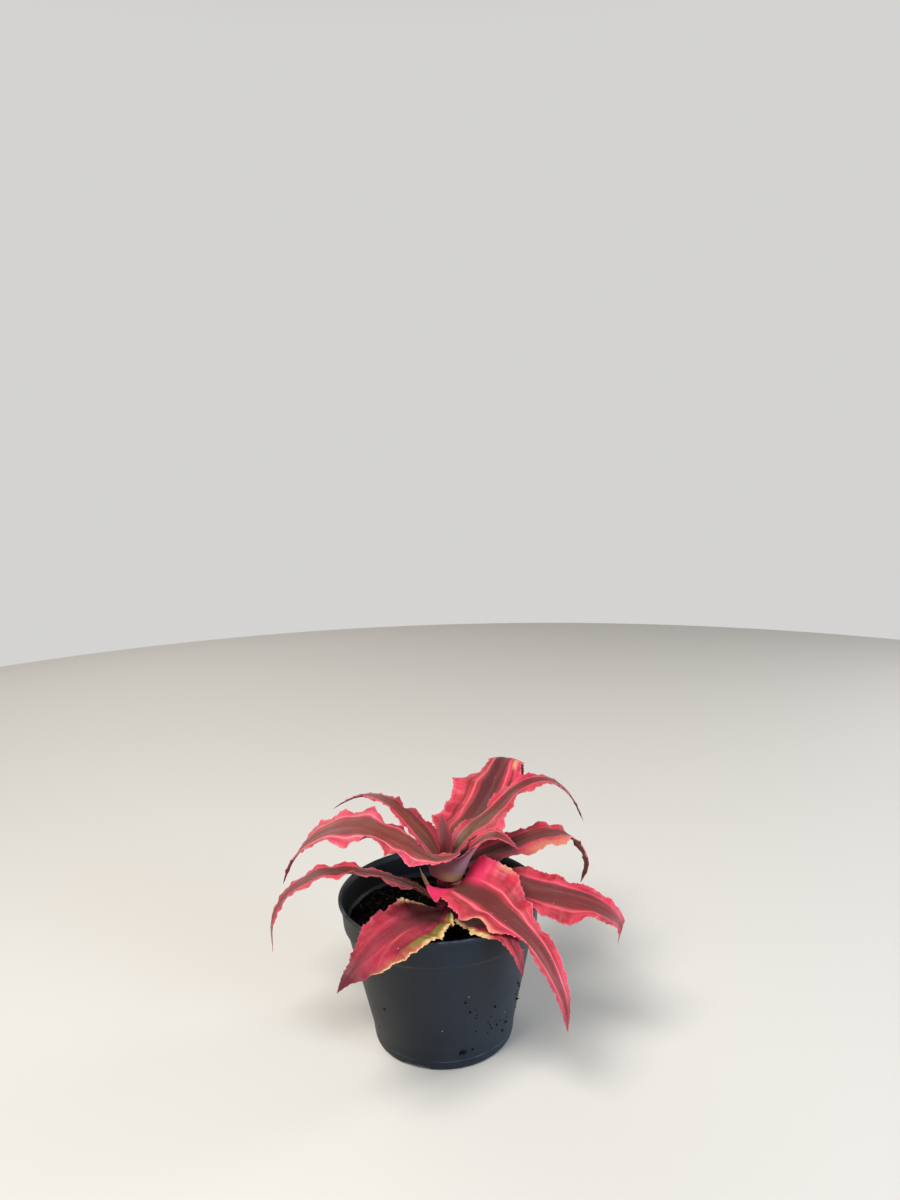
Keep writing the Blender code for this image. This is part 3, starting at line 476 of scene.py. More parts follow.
class Nodes:
    """A material's node tree, with short calls for the nodes used here."""

    def __init__(self, name):
        self.material = bpy.data.materials.new(name)
        self.material.use_nodes = True
        self.tree = self.material.node_tree
        self.shader = self.tree.nodes["Principled BSDF"]

    def put(self, socket, value):
        if isinstance(value, bpy.types.NodeSocket):
            self.tree.links.new(value, socket)
        else:
            socket.default_value = value

    def attribute(self, name):
        node = self.tree.nodes.new("ShaderNodeAttribute")
        node.attribute_name = name
        return node.outputs["Fac"]

    def math(self, kind, a, b=0.0, clamp=False):
        node = self.tree.nodes.new("ShaderNodeMath")
        node.operation = kind
        node.use_clamp = clamp
        self.put(node.inputs[0], a)
        self.put(node.inputs[1], b)
        return node.outputs[0]

    def ramp(self, x, low, high, start=0.0, end=1.0):
        node = self.tree.nodes.new("ShaderNodeMapRange")
        node.interpolation_type = "SMOOTHSTEP"
        self.put(node.inputs["Value"], x)
        for key, value in (("From Min", low), ("From Max", high), ("To Min", start), ("To Max", end)):
            node.inputs[key].default_value = value
        return node.outputs["Result"]

    def hump(self, x, middle, width):
        """1 at the middle, falling to 0 a width away on each side."""
        gap = self.math("ABSOLUTE", self.math("SUBTRACT", x, middle))
        return self.ramp(gap, 0.0, width, 1.0, 0.0)

    def mix(self, share, a, b, kind="MIX"):
        node = self.tree.nodes.new("ShaderNodeMix")
        node.data_type = "RGBA"
        node.blend_type = kind
        self.put(node.inputs[0], share)
        self.put(node.inputs[6], a)
        self.put(node.inputs[7], b)
        return node.outputs[2]

    def vector(self, x, y, z=0.0):
        node = self.tree.nodes.new("ShaderNodeCombineXYZ")
        for socket, value in zip(node.inputs, (x, y, z)):
            self.put(socket, value)
        return node.outputs[0]

    def place(self):
        return self.tree.nodes.new("ShaderNodeTexCoord").outputs["Object"]

    def noise(self, vector, scale, detail=3.0, rough=0.55):
        node = self.tree.nodes.new("ShaderNodeTexNoise")
        self.put(node.inputs["Vector"], vector)
        node.inputs["Scale"].default_value = scale
        node.inputs["Detail"].default_value = detail
        node.inputs["Roughness"].default_value = rough
        return node.outputs["Fac"]

    def cells(self, vector, scale):
        node = self.tree.nodes.new("ShaderNodeTexVoronoi")
        self.put(node.inputs["Vector"], vector)
        node.inputs["Scale"].default_value = scale
        return node.outputs["Distance"], node.outputs["Color"]

    def bump(self, height, strength, distance):
        node = self.tree.nodes.new("ShaderNodeBump")
        node.inputs["Strength"].default_value = strength
        node.inputs["Distance"].default_value = distance
        self.put(node.inputs["Height"], height)
        self.put(self.shader.inputs["Normal"], node.outputs["Normal"])

    def finish(self, colour, rough, specular=0.5):
        self.put(self.shader.inputs["Base Color"], colour)
        self.put(self.shader.inputs["Roughness"], rough)
        self.shader.inputs["Specular IOR Level"].default_value = specular
        return self.material


LEAF_TONES = {
    "pink": (208, 54, 80), "coral": (190, 52, 62), "pale": (238, 122, 136), "centre": (100, 47, 42),
    "deep": (66, 30, 30), "maroon": (88, 16, 32), "olive": (92, 78, 42), "tan": (226, 196, 140),
    "leaf_green": (112, 120, 34), "under": (122, 56, 70), "scurf": (172, 146, 168), "under_green": (100, 104, 44),
    "magenta": (216, 46, 92), "crimson": (140, 26, 42), "tip": (150, 48, 64), "spine": (238, 168, 160),
    "ember": (206, 104, 84),
}


def leaf_material(leaf):
    tones = {**LEAF_TONES, **leaf.get("tones", {})}
    tone = {key: rgb(*value) for key, value in tones.items()}
    n = Nodes(leaf["name"] + "_skin")
    seed = float(sum(map(ord, leaf["name"])) % 97)
    across, along, share = n.attribute("across"), n.attribute("along"), n.attribute("share")
    width, under = n.attribute("width"), n.attribute("under")
    offset = n.math("MULTIPLY", across, width)
    streak = n.noise(n.vector(n.math("MULTIPLY", offset, 0.55), n.math("MULTIPLY", along, 0.022), seed), 1.0, 4.0, 0.6)
    fine = n.noise(n.vector(n.math("MULTIPLY", offset, 3.2), n.math("MULTIPLY", along, 0.07), seed), 1.0, 3.0, 0.6)
    patch = n.noise(n.vector(n.math("MULTIPLY", offset, 0.10), n.math("MULTIPLY", along, 0.05), seed), 1.0, 2.0, 0.5)
    mottle = n.noise(n.vector(n.math("MULTIPLY", offset, 0.9), n.math("MULTIPLY", along, 0.9), seed), 1.0, 4.0, 0.6)
    out = n.math("ABSOLUTE", across)
    wobble = n.math("MULTIPLY", n.math("SUBTRACT", streak, 0.5), 0.22)
    a = n.math("ADD", out, wobble)
    band = leaf.get("band", 0.42)
    centre = n.ramp(a, band - 0.12, band + 0.09, 1.0, 0.0)
    line = n.hump(a, band + 0.09, 0.06)
    second = n.hump(a, band + 0.27, 0.09)
    colour = n.mix(n.ramp(patch, 0.35, 0.65), tone["pink"], tone["coral"])
    broad = n.noise(n.vector(n.math("MULTIPLY", offset, 0.16), n.math("MULTIPLY", along, 0.09), seed + 11.0), 1.0, 3.0, 0.55)
    colour = n.mix(n.math("MULTIPLY", n.ramp(broad, 0.46, 0.60), leaf.get("crimson", 0.55)), colour, tone["crimson"])
    colour = n.mix(n.math("MULTIPLY", n.ramp(broad, 0.44, 0.28), 0.22), colour, tone["pale"])
    colour = n.mix(n.math("MULTIPLY", second, leaf.get("stripe", 0.5)), colour, tone["centre"])
    ember = n.noise(n.vector(n.math("MULTIPLY", offset, 0.85), n.math("MULTIPLY", along, 0.030), seed + 31.0), 1.0, 4.0, 0.65)
    colour = n.mix(n.math("MULTIPLY", n.ramp(ember, 0.54, 0.70), leaf.get("ember", 0.45)), colour, tone["ember"])
    colour = n.mix(n.math("MULTIPLY", centre, leaf.get("brown", 0.95)), colour, tone["centre"])
    dark_lines = n.math("MULTIPLY", n.ramp(fine, 0.42, 0.68), n.math("MULTIPLY", centre, 0.55))
    colour = n.mix(dark_lines, colour, tone["deep"])
    red_lines = n.math("MULTIPLY", n.ramp(streak, 0.52, 0.66), n.math("MULTIPLY", centre, 0.35))
    colour = n.mix(red_lines, colour, tone["coral"])
    colour = n.mix(n.math("MULTIPLY", line, leaf.get("line", 0.55)), colour, tone["pale"])
    colour = n.mix(n.math("MULTIPLY", n.ramp(fine, 0.52, 0.74), 0.16), colour, tone["pale"])
    colour = n.mix(n.math("MULTIPLY", n.ramp(fine, 0.50, 0.28), 0.34), colour, tone["maroon"])
    base = n.math("MULTIPLY", n.ramp(along, 6.0, leaf.get("green_to", 34.0), 1.0, 0.0), n.ramp(a, 0.25, 0.75, 1.0, 0.0))
    colour = n.mix(n.math("MULTIPLY", base, leaf.get("green", 0.5)), colour, tone["olive"])
    tip = n.ramp(share, 0.72, 1.0)
    colour = n.mix(n.math("MULTIPLY", tip, leaf.get("tip", 0.65)), colour, tone["tip"])
    edge = n.ramp(n.math("ADD", out, n.math("MULTIPLY", n.math("SUBTRACT", mottle, 0.5), 0.10)), 0.93, 1.0)
    colour = n.mix(n.math("MULTIPLY", edge, leaf.get("edge", 0.4)), colour, tone["pale"])
    # painted shade: maroon over the shade lanes
    colour = n.mix(n.attribute("shade"), colour, tone["maroon"])
    # painted shade: magenta over the lobes by the base that lie in shadow
    colour = n.mix(n.attribute("painted_shade_magenta"), colour, tone["magenta"])
    colour = n.mix(n.attribute("lime"), colour, tone["leaf_green"])
    dust, tint = n.cells(n.vector(offset, along, seed), 0.42)
    parts = n.tree.nodes.new("ShaderNodeSeparateColor")
    n.put(parts.inputs[0], tint)
    dust = n.math("MULTIPLY", n.ramp(dust, 0.05, 0.11, 1.0, 0.0), n.ramp(parts.outputs[0], 0.86, 0.88))
    colour = n.mix(n.math("MULTIPLY", dust, 0.75), colour, rgb(236, 176, 178))
    tips = n.ramp(n.attribute("tooth"), 0.22, 0.50)
    colour = n.mix(n.math("MULTIPLY", tips, leaf.get("tips", 0.6)), colour, tone["spine"])
    colour = n.mix(n.attribute("dry"), colour, n.mix(n.ramp(mottle, 0.42, 0.62), tone["tan"], rgb(206, 160, 98)))
    # underside: mauve with pale scurf between fine lengthwise lines, greenish towards the stem
    scurf_lines = n.ramp(fine, 0.36, 0.62)
    grains = n.noise(n.vector(n.math("MULTIPLY", offset, 5.0), n.math("MULTIPLY", along, 3.2), seed + 5.0), 1.0, 2.0, 0.6)
    scurf = n.math("MULTIPLY", n.ramp(grains, 0.25, 0.85), n.math("ADD", 0.45, n.math("MULTIPLY", scurf_lines, 0.35)))
    scurf = n.math("MULTIPLY", scurf, n.ramp(along, 14.0, leaf.get("scurf_to", 40.0), 1.0, 0.22))
    below = n.mix(n.ramp(patch, 0.3, 0.7), tone["under"], tone["maroon"])
    below = n.mix(n.ramp(along, 3.0, 16.0, 0.75, 0.0), below, tone["under_green"])
    below = n.mix(n.math("MULTIPLY", n.ramp(out, 0.70, 1.0), 0.5), below, tone["pink"])
    below = n.mix(n.math("MULTIPLY", scurf, leaf.get("scurf", 0.75)), below, tone["scurf"])
    if leaf.get("sheath"):
        # the clasping base: dark mauve on the left, lilac scurf on the right, tan green at the bottom
        lilac = n.math("MULTIPLY", n.ramp(across, -0.70, -0.25), n.ramp(along, 30.0, 16.0))
        grain = n.math("ADD", 0.50, n.math("MULTIPLY", n.ramp(grains, 0.35, 0.65), 0.50))
        below = n.mix(n.math("MULTIPLY", n.ramp(along, 26.0, 14.0), 0.95), below, rgb(98, 50, 54))
        below = n.mix(n.math("MULTIPLY", n.ramp(grains, 0.5, 0.75), 0.35), below, rgb(142, 108, 118))
        below = n.mix(n.math("MULTIPLY", n.math("MULTIPLY", lilac, grain), 0.80), below, rgb(172, 144, 156))
        low = n.math("ADD", along, n.math("MULTIPLY", n.math("SUBTRACT", patch, 0.5), 4.0))
        below = n.mix(n.math("MULTIPLY", n.math("MULTIPLY", n.ramp(low, 6.5, 1.5), n.ramp(across, -0.85, -0.35)), 0.9), below, rgb(172, 142, 82))
    below = n.mix(n.attribute("dry"), below, tone["tan"])
    colour = n.mix(under, colour, below)
    rough = n.math("ADD", n.math("ADD", 0.34, n.math("MULTIPLY", mottle, 0.18)), n.math("MULTIPLY", under, 0.22))
    rough = n.math("ADD", rough, n.math("MULTIPLY", n.attribute("dry"), 0.25), clamp=True)
    n.bump(n.math("ADD", n.math("MULTIPLY", fine, 1.0), n.math("MULTIPLY", mottle, 0.6)), 0.65, 0.00028)
    made = n.finish(colour, rough, 0.32)
    n.shader.inputs["Subsurface Weight"].default_value = leaf.get("glow", 0.14)
    n.shader.inputs["Subsurface Radius"].default_value = (1.0, 0.28, 0.25)
    n.shader.inputs["Subsurface Scale"].default_value = 0.0016
    return made


def make_leaf(leaf):
    grid, normals, s, places, half, length, tooth = leaf_grid(leaf, extend=leaf.get("extend", 3.0))
    out = np.abs(places)[None, :]
    at = np.maximum(s, 0.0)[:, None]
    thick = leaf.get("thickness", 0.8) * (1.0 - 0.72 * out**2.5) * np.ones_like(at)
    thick *= np.clip(half / 3.0, 0.25, 1.0)[:, None]
    thick = np.maximum(thick, 0.16)
    masks = {}
    for key in ("dry", "lime", "shade", "painted_shade_magenta"):
        total = np.zeros((len(s), len(places)))
        for lane in leaf.get(key, []):
            # lane: from v, full at v, to v, end v, start s, full s, to s, end s, strength
            v0, v1, v2, v3, s0, s1, s2, s3, strong = lane
            v, m = places[None, :], at
            inside = step(v0, v1, v) * (1 - step(v2, v3, v)) * step(s0, s1, m) * (1 - step(s2, s3, m))
            total = np.maximum(total, inside * strong)
        masks[key] = total
    values = {"across": places[None, :], "along": at, "share": at / length, "width": half[:, None], "tooth": tooth, **masks}
    mesh = grid_solid(leaf["name"] + "_fine", grid, normals, thick, values)
    slot = "dry_leaf" if leaf["name"].startswith("dry") else "leaf"
    return put(leaf["name"] + "_fine", mesh, leaf_material(leaf), leaf["name"], slot=slot)


for leaf in LEAVES:
    make_leaf({**leaf, **LOOKS.get(leaf["name"], {})})


# ----------------------------------------------------------------------------------- turned bodies
def turned(name, rings, top, bottom):
    """A closed turned body from rings of points (rings x steps x 3), closed by a point at each end."""
    count, steps = rings.shape[:2]
    points = np.concatenate([rings.reshape(-1, 3), [top], [bottom]]) * MM
    index = np.arange(count * steps).reshape(count, steps)
    after = np.roll(index, -1, axis=1)
    quads = np.stack([index[:-1], index[1:], after[1:], after[:-1]], -1).reshape(-1, 4)
    caps = [(count * steps, int(a), int(b)) for a, b in zip(index[0], after[0])]
    caps += [(count * steps + 1, int(b), int(a)) for a, b in zip(index[-1], after[-1])]
    mesh = bpy.data.meshes.new(name)
    mesh.from_pydata(points.tolist(), [], [tuple(map(int, q)) for q in quads] + caps)
    mesh.shade_smooth()
    return mesh


def rings_of(profile, steps):
    turn = np.linspace(0, math.tau, steps, endpoint=False)
    r, z = np.array(profile, float).T
    return np.stack([r[:, None] * np.cos(turn), r[:, None] * np.sin(turn), np.broadcast_to(z[:, None], (len(r), steps))], -1)


def rounded(profile, radii):
    """A profile with a small arc at each corner that has a radius."""
    points = [Vector(p) for p in profile]
    found = [tuple(points[0])]
    for before, here, after, radius in zip(points, points[1:], points[2:], radii[1:]):
        a, b = (before - here), (after - here)
        cut = min(radius, a.length * 0.45, b.length * 0.45)
        if cut <= 0.01:
            found.append(tuple(here))
            continue
        p, q = here + a.normalized() * cut, here + b.normalized() * cut
        for t in (0.0, 0.25, 0.5, 0.75, 1.0):
            found.append(tuple((1 - t) ** 2 * p + 2 * t * (1 - t) * here + t * t * q))
    found.append(tuple(points[-1]))
    return found


def dense(profile, longest):
    found = [profile[0]]
    for a, b in zip(profile, profile[1:]):
        parts = max(1, int(math.dist(a, b) / longest))
        found += [(a[0] + (b[0] - a[0]) * k / parts, a[1] + (b[1] - a[1]) * k / parts) for k in range(1, parts + 1)]
    return found


# ------------------------------------------------------------------------------------------------- pot
POT_PROFILE = [
    # radius, height, corner radius
    (28.9, 1.2, 0), (30.1, 1.9, 0.6), (30.9, 7.5, 1), (40.9, 53.7, 0.8), (42.1, 55.2, 0.8), (42.85, 64.4, 0.4),
    (43.5, 66.0, 0.4), (43.9, 66.7, 0.35), (44.7, 66.7, 0.4), (45.0, 66.2, 0.3), (45.0, 65.2, 0.3), (44.0, 64.6, 0.25),
    (43.8, 64.2, 0.2), (43.1, 54.6, 0.9), (41.9, 53.2, 0.9), (41.0, 49.5, 0), (32.2, 8.6, 1.5), (31.62, 4.55, 0.1),
    (31.72, 4.25, 0.1), (31.55, 3.95, 0.1), (31.3, 1.4, 0.6), (30.6, 0.0, 0.6), (29.0, 0.0, 0),
]
profile = dense(rounded([p[:2] for p in POT_PROFILE], [p[2] for p in POT_PROFILE]), 2.4)
rings = rings_of(profile, 192)
# the wall is not perfectly round: a soft, thin moulding
turn = np.arctan2(rings[..., 1], rings[..., 0])
swell = 1.0 + 0.0022 * np.sin(2 * turn + 0.6) * np.clip(rings[..., 2] / 66.0, 0, 1) + 0.0008 * np.sin(5 * turn + rings[..., 2] / 14.0)
rings[..., 0] *= swell
rings[..., 1] *= swell
pot = bpy.data.objects.new("pot_shell", turned("pot_shell", rings, (0, 0, 1.2), (0, 0, 0)))
bpy.context.scene.collection.objects.link(pot)
cutters = []
for k in range(3):
    angle = math.radians(247.0 + 120.0 * k)
    outline = [(-6.9, -1.0), (-6.9, 0.0), (-6.2, 1.4), (-5.3, 2.0), (5.3, 2.0), (6.2, 1.4), (6.9, 0.0), (6.9, -1.0)]
    points = [(x, y, z) for x in (27.0, 35.0) for y, z in outline]
    m = len(outline)
    faces = [tuple(range(m))[::-1], tuple(range(m, 2 * m))] + [(i, (i + 1) % m, m + (i + 1) % m, m + i) for i in range(m)]
    mesh = bpy.data.meshes.new("slot")
    turned_points = [(x * math.cos(angle) - y * math.sin(angle), x * math.sin(angle) + y * math.cos(angle), z) for x, y, z in points]
    mesh.from_pydata([tuple(c * MM for c in p) for p in turned_points], [], faces)
    cutter = bpy.data.objects.new("slot", mesh)
    bpy.context.scene.collection.objects.link(cutter)
    work = bmesh.new()
    work.from_mesh(mesh)
    bmesh.ops.recalc_face_normals(work, faces=work.faces)
    work.to_mesh(mesh)
    work.free()
    cut = pot.modifiers.new("slot", "BOOLEAN")
    cut.operation, cut.solver, cut.object = "DIFFERENCE", "EXACT", cutter
    cutters.append(cutter)
bpy.context.view_layer.update()
cut_mesh = bpy.data.meshes.new_from_object(pot.evaluated_get(bpy.context.evaluated_depsgraph_get()))
pot.modifiers.clear()
pot.data = cut_mesh
for cutter in cutters:
    bpy.data.objects.remove(cutter, do_unlink=True)
cut_mesh.shade_smooth()
cut_mesh.set_sharp_from_angle(angle=math.radians(38))


def pot_material():
    n = Nodes("pot_plastic_moulded")
    place = n.place()
    broad = n.noise(place, 28.0, 3.0, 0.5)
    grain = n.noise(place, 900.0, 2.0, 0.6)
    smear = n.noise(place, 75.0, 5.0, 0.65)
    specks, tint = n.cells(place, 260.0)
    colour = n.mix(n.ramp(broad, 0.3, 0.7), rgb(21, 29, 40), rgb(26, 35, 47))
    colour = n.mix(n.math("MULTIPLY", n.ramp(smear, 0.55, 0.75), 0.30), colour, rgb(52, 56, 58))
    sides = n.tree.nodes.new("ShaderNodeSeparateXYZ")
    n.put(sides.inputs[0], place)
    # painted shade: a warm brown tint over the -x side of the wall, the side away from the light
    warm_painted_shade = n.math("MULTIPLY", n.ramp(sides.outputs[0], 0.006, -0.040), n.math("ADD", 0.55, n.math("MULTIPLY", n.ramp(broad, 0.35, 0.65), 0.35)))
    colour = n.mix(warm_painted_shade, colour, rgb(35, 33, 26))
    # painted reflection: a lighter grey over the +x side of the wall
    painted_reflection = n.math("MULTIPLY", n.ramp(sides.outputs[0], 0.020, 0.042), n.ramp(smear, 0.35, 0.65, 0.25, 0.60))
    colour = n.mix(painted_reflection, colour, rgb(58, 60, 66))
    height = sides.outputs[2]
    # painted shade: a dark line along the collar step
    collar_painted_shade = n.math("MULTIPLY", n.hump(height, 0.0531, 0.0007), n.ramp(broad, 0.30, 0.55, 0.35, 0.75))
    colour = n.mix(collar_painted_shade, colour, rgb(9, 11, 14))
    # painted highlight: light lines along the rim's top edge and along the foot seam
    painted_highlight_lines = n.math("MAXIMUM", n.hump(height, 0.0665, 0.0005), n.hump(height, 0.00435, 0.0004))
    colour = n.mix(n.math("MULTIPLY", painted_highlight_lines, n.ramp(smear, 0.42, 0.62, 0.02, 0.55)), colour, rgb(84, 92, 100))
    split = n.tree.nodes.new("ShaderNodeSeparateColor")
    n.put(split.inputs[0], tint)
    chosen = n.ramp(split.outputs[0], 0.955, 0.965)
    dot = n.math("MULTIPLY", n.ramp(specks, 0.04, 0.11, 1.0, 0.0), chosen)
    colour = n.mix(n.math("MULTIPLY", dot, 0.55), colour, rgb(176, 172, 162))
    n.bump(n.math("ADD", n.math("MULTIPLY", grain, 0.6), n.math("MULTIPLY", smear, 0.5)), 0.25, 0.00012)
    rough = n.math("ADD", 0.40, n.math("MULTIPLY", smear, 0.16))
    return n.finish(colour, rough, 0.26)


pot.data.materials.clear()
pot.data.materials.append(pot_material())
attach(pot, "root")
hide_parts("pot")


# ------------------------------------------------------------------------------------------------ soil
def lumpy(x, y, z, seed=0.0):
    p = Vector((x, y, z + seed))
    return (1.15 * noise.noise(p / 9.0) + 0.75 * noise.noise(p / 3.6) + 0.45 * noise.noise(p / 1.5)
            + 0.22 * noise.noise(p / 0.7))


def soil_height(x, y):
    r = math.hypot(x, y)
    return SOIL_TOP_Z - 1.0 - 1.6 * (r / 40.0) ** 2 + lumpy(x, y, 3.0)


def soil_piece():
    steps = 200
    radii = np.concatenate([np.linspace(0.5, 39.9, 84), [40.35]])
    rings = rings_of([(r, 0.0) for r in radii], steps)
    for ring in rings:
        for p in ring:
            p[2] = soil_height(p[0], p[1])
    rings[-1, :, 2] -= 0.5
    side = rings_of([(40.3, 51.7), (31.0, 8.0), (29.5, 2.6), (28.6, 1.6)], steps)
    mesh = turned("soil_surface", np.concatenate([rings, side]), (0, 0, soil_height(0, 0)), (0, 0, 1.6))
    mesh.set_sharp_from_angle(angle=math.radians(70))
    return mesh


def soil_material(name, dark, light, warm):
    n = Nodes(name)
    place = n.place()
    coarse = n.noise(place, 320.0, 6.0, 0.7)
    grit = n.noise(place, 1500.0, 3.0, 0.7)
    colour = n.mix(n.ramp(coarse, 0.40, 0.70), rgb(*dark), rgb(*light))
    colour = n.mix(n.math("MULTIPLY", n.ramp(grit, 0.60, 0.78), 0.55), colour, rgb(*warm))
    n.bump(n.math("ADD", coarse, n.math("MULTIPLY", grit, 0.5)), 0.8, 0.0006)
    return n.finish(colour, n.math("ADD", 0.78, n.math("MULTIPLY", grit, 0.20), clamp=True), 0.06)


put("soil_surface", soil_piece(), soil_material("peat_fine", (3, 3, 3), (12, 9, 7), (48, 36, 26)), "soil", slot="peat_soil")


def lumps(name, spots, material, slot, rough=1.0):
    """Small uneven lumps at spots of (x, y, z, size, flatness), joined as one piece."""
    rng = np.random.default_rng(5)
    work = bmesh.new()
    for x, y, z, size, flat in spots:
        made = bmesh.ops.create_icosphere(work, subdivisions=2, radius=1.0)["verts"]
        phase = float(rng.uniform(0, 900))
        shape = Vector(rng.uniform(0.65, 1.25, 3))
        spin = Matrix.Rotation(rng.uniform(0, math.tau), 3, "Z") @ Matrix.Rotation(rng.uniform(-0.5, 0.5), 3, "X")
        for vert in made:
            p = vert.co.copy()
            grow = 1.0 + rough * (0.55 * noise.noise(p * 1.1 + Vector((phase, 0, 0)))
                                  + 0.25 * noise.noise(p * 2.7 + Vector((0, phase, 0))))
            p = Vector((p.x * shape.x, p.y * shape.y, p.z * shape.z * flat)) * grow * size / 2
            vert.co = (spin @ p + Vector((x, y, z))) * MM
    mesh = bpy.data.meshes.new(name)
    work.to_mesh(mesh)
    work.free()
    mesh.shade_smooth()
    return put(name, mesh, material, slot=slot)


def tubes(name, strands, material, slot, sides=5):
    """Thin strands, each a list of points with a radius, joined as one piece."""
    points, faces = [], []
    for path, radius in strands:
        path = [Vector(p) for p in path]
        first = len(points)
        for i, p in enumerate(path):
            ahead = (path[min(i + 1, len(path) - 1)] - path[max(i - 1, 0)]).normalized()
            a = ahead.cross(Vector((0.3, 0.2, 1.0))).normalized()
            b = ahead.cross(a)
            thin = radius * (0.35 + 0.65 * math.sin(math.pi * (i + 0.5) / len(path)))
            for k in range(sides):
                t = math.tau * k / sides
                points.append(tuple((p + (a * math.cos(t) + b * math.sin(t)) * thin) * MM))
        for i in range(len(path) - 1):
            for k in range(sides):
                l = (k + 1) % sides
                faces.append((first + i * sides + k, first + i * sides + l, first + (i + 1) * sides + l, first + (i + 1) * sides + k))
        faces.append(tuple(first + k for k in range(sides))[::-1])
        faces.append(tuple(first + (len(path) - 1) * sides + k for k in range(sides)))
    mesh = bpy.data.meshes.new(name)
    mesh.from_pydata(points, [], faces)
    mesh.shade_smooth()
    return put(name, mesh, material, slot=slot)


rng = np.random.default_rng(21)


def scattered(count, sizes, flat, reach=38.5, sink=0.15):
    found = []
    for _ in range(count):
        r, t = reach * math.sqrt(rng.uniform(0.004, 1)), rng.uniform(0, math.tau)
        x, y = r * math.cos(t), r * math.sin(t)
        size = sizes[0] * (sizes[1] / sizes[0]) ** (rng.uniform() ** 1.8)
        if math.hypot(x, y) + size / 2 < 39.6:
            found.append((x, y, soil_height(x, y) + size * (flat * 0.5 - sink), size, flat))
    return found


peat_lumps = soil_material("peat_lumps", (12, 10, 8), (36, 28, 22), (88, 66, 44))
lumps("soil_crumbs", scattered(420, (0.7, 3.0), 0.75), peat_lumps, "peat_soil")
bark = soil_material("bark_bits", (46, 36, 26), (92, 74, 52), (152, 128, 94))
lumps("soil_bark_bits", scattered(70, (0.6, 2.0), 0.4), bark, "peat_soil")


def strand(length, radius, lift):
    r, t = 37.0 * math.sqrt(rng.uniform(0.004, 1)), rng.uniform(0, math.tau)
    x, y, heading = r * math.cos(t), r * math.sin(t), rng.uniform(0, math.tau)
    bend, parts, path = rng.uniform(-0.5, 0.5), 9, []
    for i in range(parts):
        if math.hypot(x, y) > 39.0:
            break
        path.append((x, y, soil_height(x, y) + 0.25 + lift * math.sin(math.pi * i / (parts - 1))))
        x += math.cos(heading) * length / parts
        y += math.sin(heading) * length / parts
        heading += bend / parts * 3 + rng.uniform(-0.25, 0.25)
    return (path, radius) if len(path) > 3 else None


strands = [strand(rng.uniform(3, 13), rng.uniform(0.07, 0.2), rng.uniform(0.0, 1.4)) for _ in range(130)]
tubes("soil_fibres", [s for s in strands if s], bark, "peat_soil")


# ------------------------------------------------------------------------------------------------ stem
def stem_piece():
    profile = dense([(2.6, 82.6), (3.0, 80.0), (3.3, 76.0), (3.4, 66.0), (3.9, 60.0), (4.3, 56.0), (4.0, 54.5)], 0.5)
    rings = rings_of(profile, 40)
    for i, ring in enumerate(rings):
        for p in ring:
            t = math.atan2(p[1], p[0])
            z = p[2]
            scar = 0.28 * abs(math.sin((z + 1.2 * math.sin(t * 2 + z * 0.1)) * 0.95)) ** 3
            grow = 1.0 + (scar + 0.25 * noise.noise(Vector((math.cos(t) * 1.5, math.sin(t) * 1.5, z / 2.2)))) / 3.4
            p[0], p[1] = p[0] * grow + STEM_X, p[1] * grow + STEM_Y
    return turned("stem_bark", rings, (STEM_X, STEM_Y, 82.9), (STEM_X, STEM_Y, 54.4))


def stem_material():
    n = Nodes("stem_skin_fine")
    place = n.place()
    broad = n.noise(place, 160.0, 4.0, 0.6)
    fine = n.noise(place, 900.0, 3.0, 0.6)
    colour = n.mix(n.ramp(broad, 0.35, 0.7), rgb(104, 22, 40), rgb(150, 44, 62))
    colour = n.mix(n.math("MULTIPLY", n.ramp(fine, 0.5, 0.75), 0.4), colour, rgb(150, 104, 92))
    n.bump(n.math("ADD", broad, fine), 0.5, 0.0003)
    return n.finish(colour, n.math("ADD", 0.5, n.math("MULTIPLY", fine, 0.2)), 0.4)


put("stem_fine", stem_piece(), stem_material(), "stem", slot="stem")

# soil crumbs stuck to the pot's wall, in splashes: the splash's middle angle, its spread, its lowest and highest
# crumb, how many there are and the largest one
SPLASHES = [
    (290, 3, 5, 15, 3, 2.4), (305, 13, 12, 36, 18, 1.1), (335, 3, 20, 32, 5, 1.9), (180, 90, 6, 32, 8, 0.9),
]


def wall_radius(z):
    return float(np.interp(z, [0, 4, 8.6, 49.5, 53.2, 54.6, 64.2], [30.9, 31.6, 32.2, 41.0, 41.9, 43.1, 43.8]))


splash_rng = np.random.default_rng(8)
spots = []
for middle, spread, low, high, count, largest in SPLASHES:
    for k in range(count):
        z = splash_rng.uniform(low, high)
        size = largest if k == 0 else 0.5 + (largest - 0.5) * splash_rng.random() ** 2
        t, r = math.radians(splash_rng.normal(middle, spread)), wall_radius(z) + 0.15
        spots.append((r * math.cos(t), r * math.sin(t), float(z), float(size), 0.8))
lumps("pot_crumbs", spots, soil_material("stuck_peat", (18, 13, 10), (46, 33, 24), (128, 100, 74)), "peat_soil", rough=1.8)

# ------------------------------------------------------------------------------- floor, light, camera
floor_mesh = bpy.data.meshes.new("floor")
edge_points = [(0.95 * math.cos(math.tau * k / 180), 0.95 * math.sin(math.tau * k / 180), 0) for k in range(180)]
floor_mesh.from_pydata(edge_points, [], [tuple(range(180))])
floor = bpy.data.objects.new("floor", floor_mesh)
bpy.context.scene.collection.objects.link(floor)
n = Nodes("floor_pale")
floor_mesh.materials.append(n.finish(rgb(208, 204, 197), 0.8, 0.2))


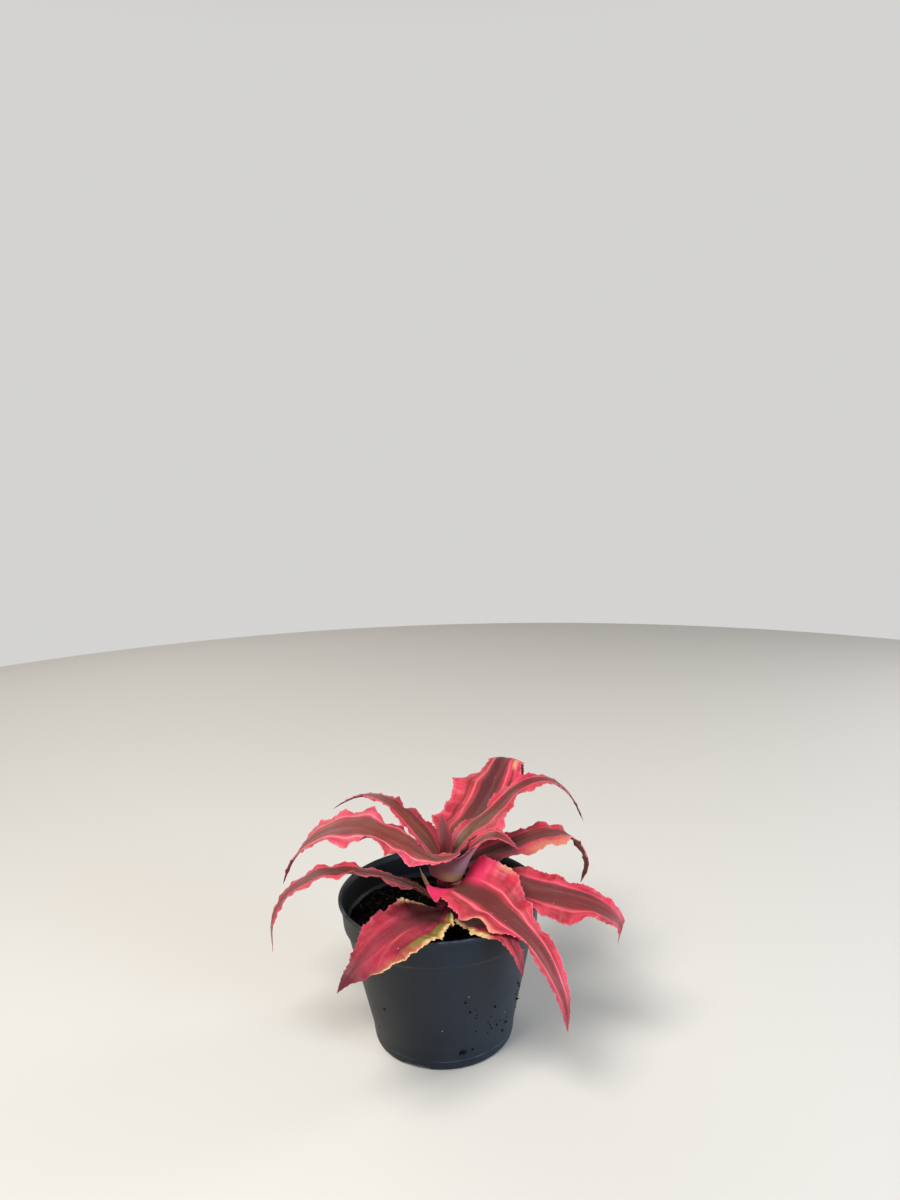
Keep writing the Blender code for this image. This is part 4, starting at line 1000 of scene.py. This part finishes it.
def area_light(name, where, target, size, power, colour=(1, 1, 1)):
    data = bpy.data.lights.new(name, "AREA")
    data.shape = "RECTANGLE"
    data.size, data.size_y = size
    data.energy = power
    data.color = colour
    lamp = bpy.data.objects.new(name, data)
    bpy.context.scene.collection.objects.link(lamp)
    lamp.location = where
    lamp.rotation_euler = (Vector(target) - Vector(where)).to_track_quat("-Z", "Y").to_euler()
    return lamp


area_light("key_softbox", (-0.30, -0.35, 0.90), (0, 0, 0.06), (0.48, 0.42), 10.8, (1.0, 0.98, 0.95))
area_light("cool_window", (0.80, -0.58, 0.26), (0, 0, 0.04), (0.35, 0.6), 7.0, (0.60, 0.79, 1.0))
area_light("edge_window", (0.92, 0.36, 0.34), (0, 0, 0.05), (0.3, 0.6), 4.0, (0.93, 0.97, 1.0))
area_light("back_softbox", (-0.5, 0.8, 0.6), (0, 0, 0.08), (0.7, 0.5), 2.2, (1.0, 0.97, 0.94))

world = bpy.data.worlds.new("studio")
bpy.context.scene.world = world
world.use_nodes = True
sky = world.node_tree.nodes["Background"]
sky.inputs["Color"].default_value = (1.0, 0.99, 0.975, 1.0)
# pale walls all round, and a dim ceiling
heading = world.node_tree.nodes.new("ShaderNodeTexCoord")
parts = world.node_tree.nodes.new("ShaderNodeSeparateXYZ")
fall = world.node_tree.nodes.new("ShaderNodeMapRange")
fall.interpolation_type = "SMOOTHSTEP"
for key, value in {"From Min": 0.36, "From Max": 0.66, "To Min": 0.66, "To Max": 0.08}.items():
    fall.inputs[key].default_value = value
world.node_tree.links.new(heading.outputs["Generated"], parts.inputs[0])
world.node_tree.links.new(parts.outputs[2], fall.inputs["Value"])
world.node_tree.links.new(fall.outputs["Result"], sky.inputs["Strength"])
bpy.context.scene.view_settings.view_transform = "Standard"

camera_data = bpy.data.cameras.new("camera")
camera_data.sensor_fit = "AUTO"
camera_data.sensor_width = 36.0
camera_data.lens = 27.99
camera_data.clip_start = 0.01
camera = bpy.data.objects.new("camera", camera_data)
bpy.context.scene.collection.objects.link(camera)
# the camera stands in front and above, looks 9.65 degrees down, and is turned and rolled a little
camera.matrix_world = (
    Matrix.Translation((0.0105, -0.3885, 0.2636)) @ Matrix.Rotation(math.radians(0.27), 4, "Z")
    @ Matrix.Rotation(math.radians(90 - 9.65), 4, "X") @ Matrix.Rotation(math.radians(-1.8), 4, "Z")
)
bpy.context.scene.camera = camera
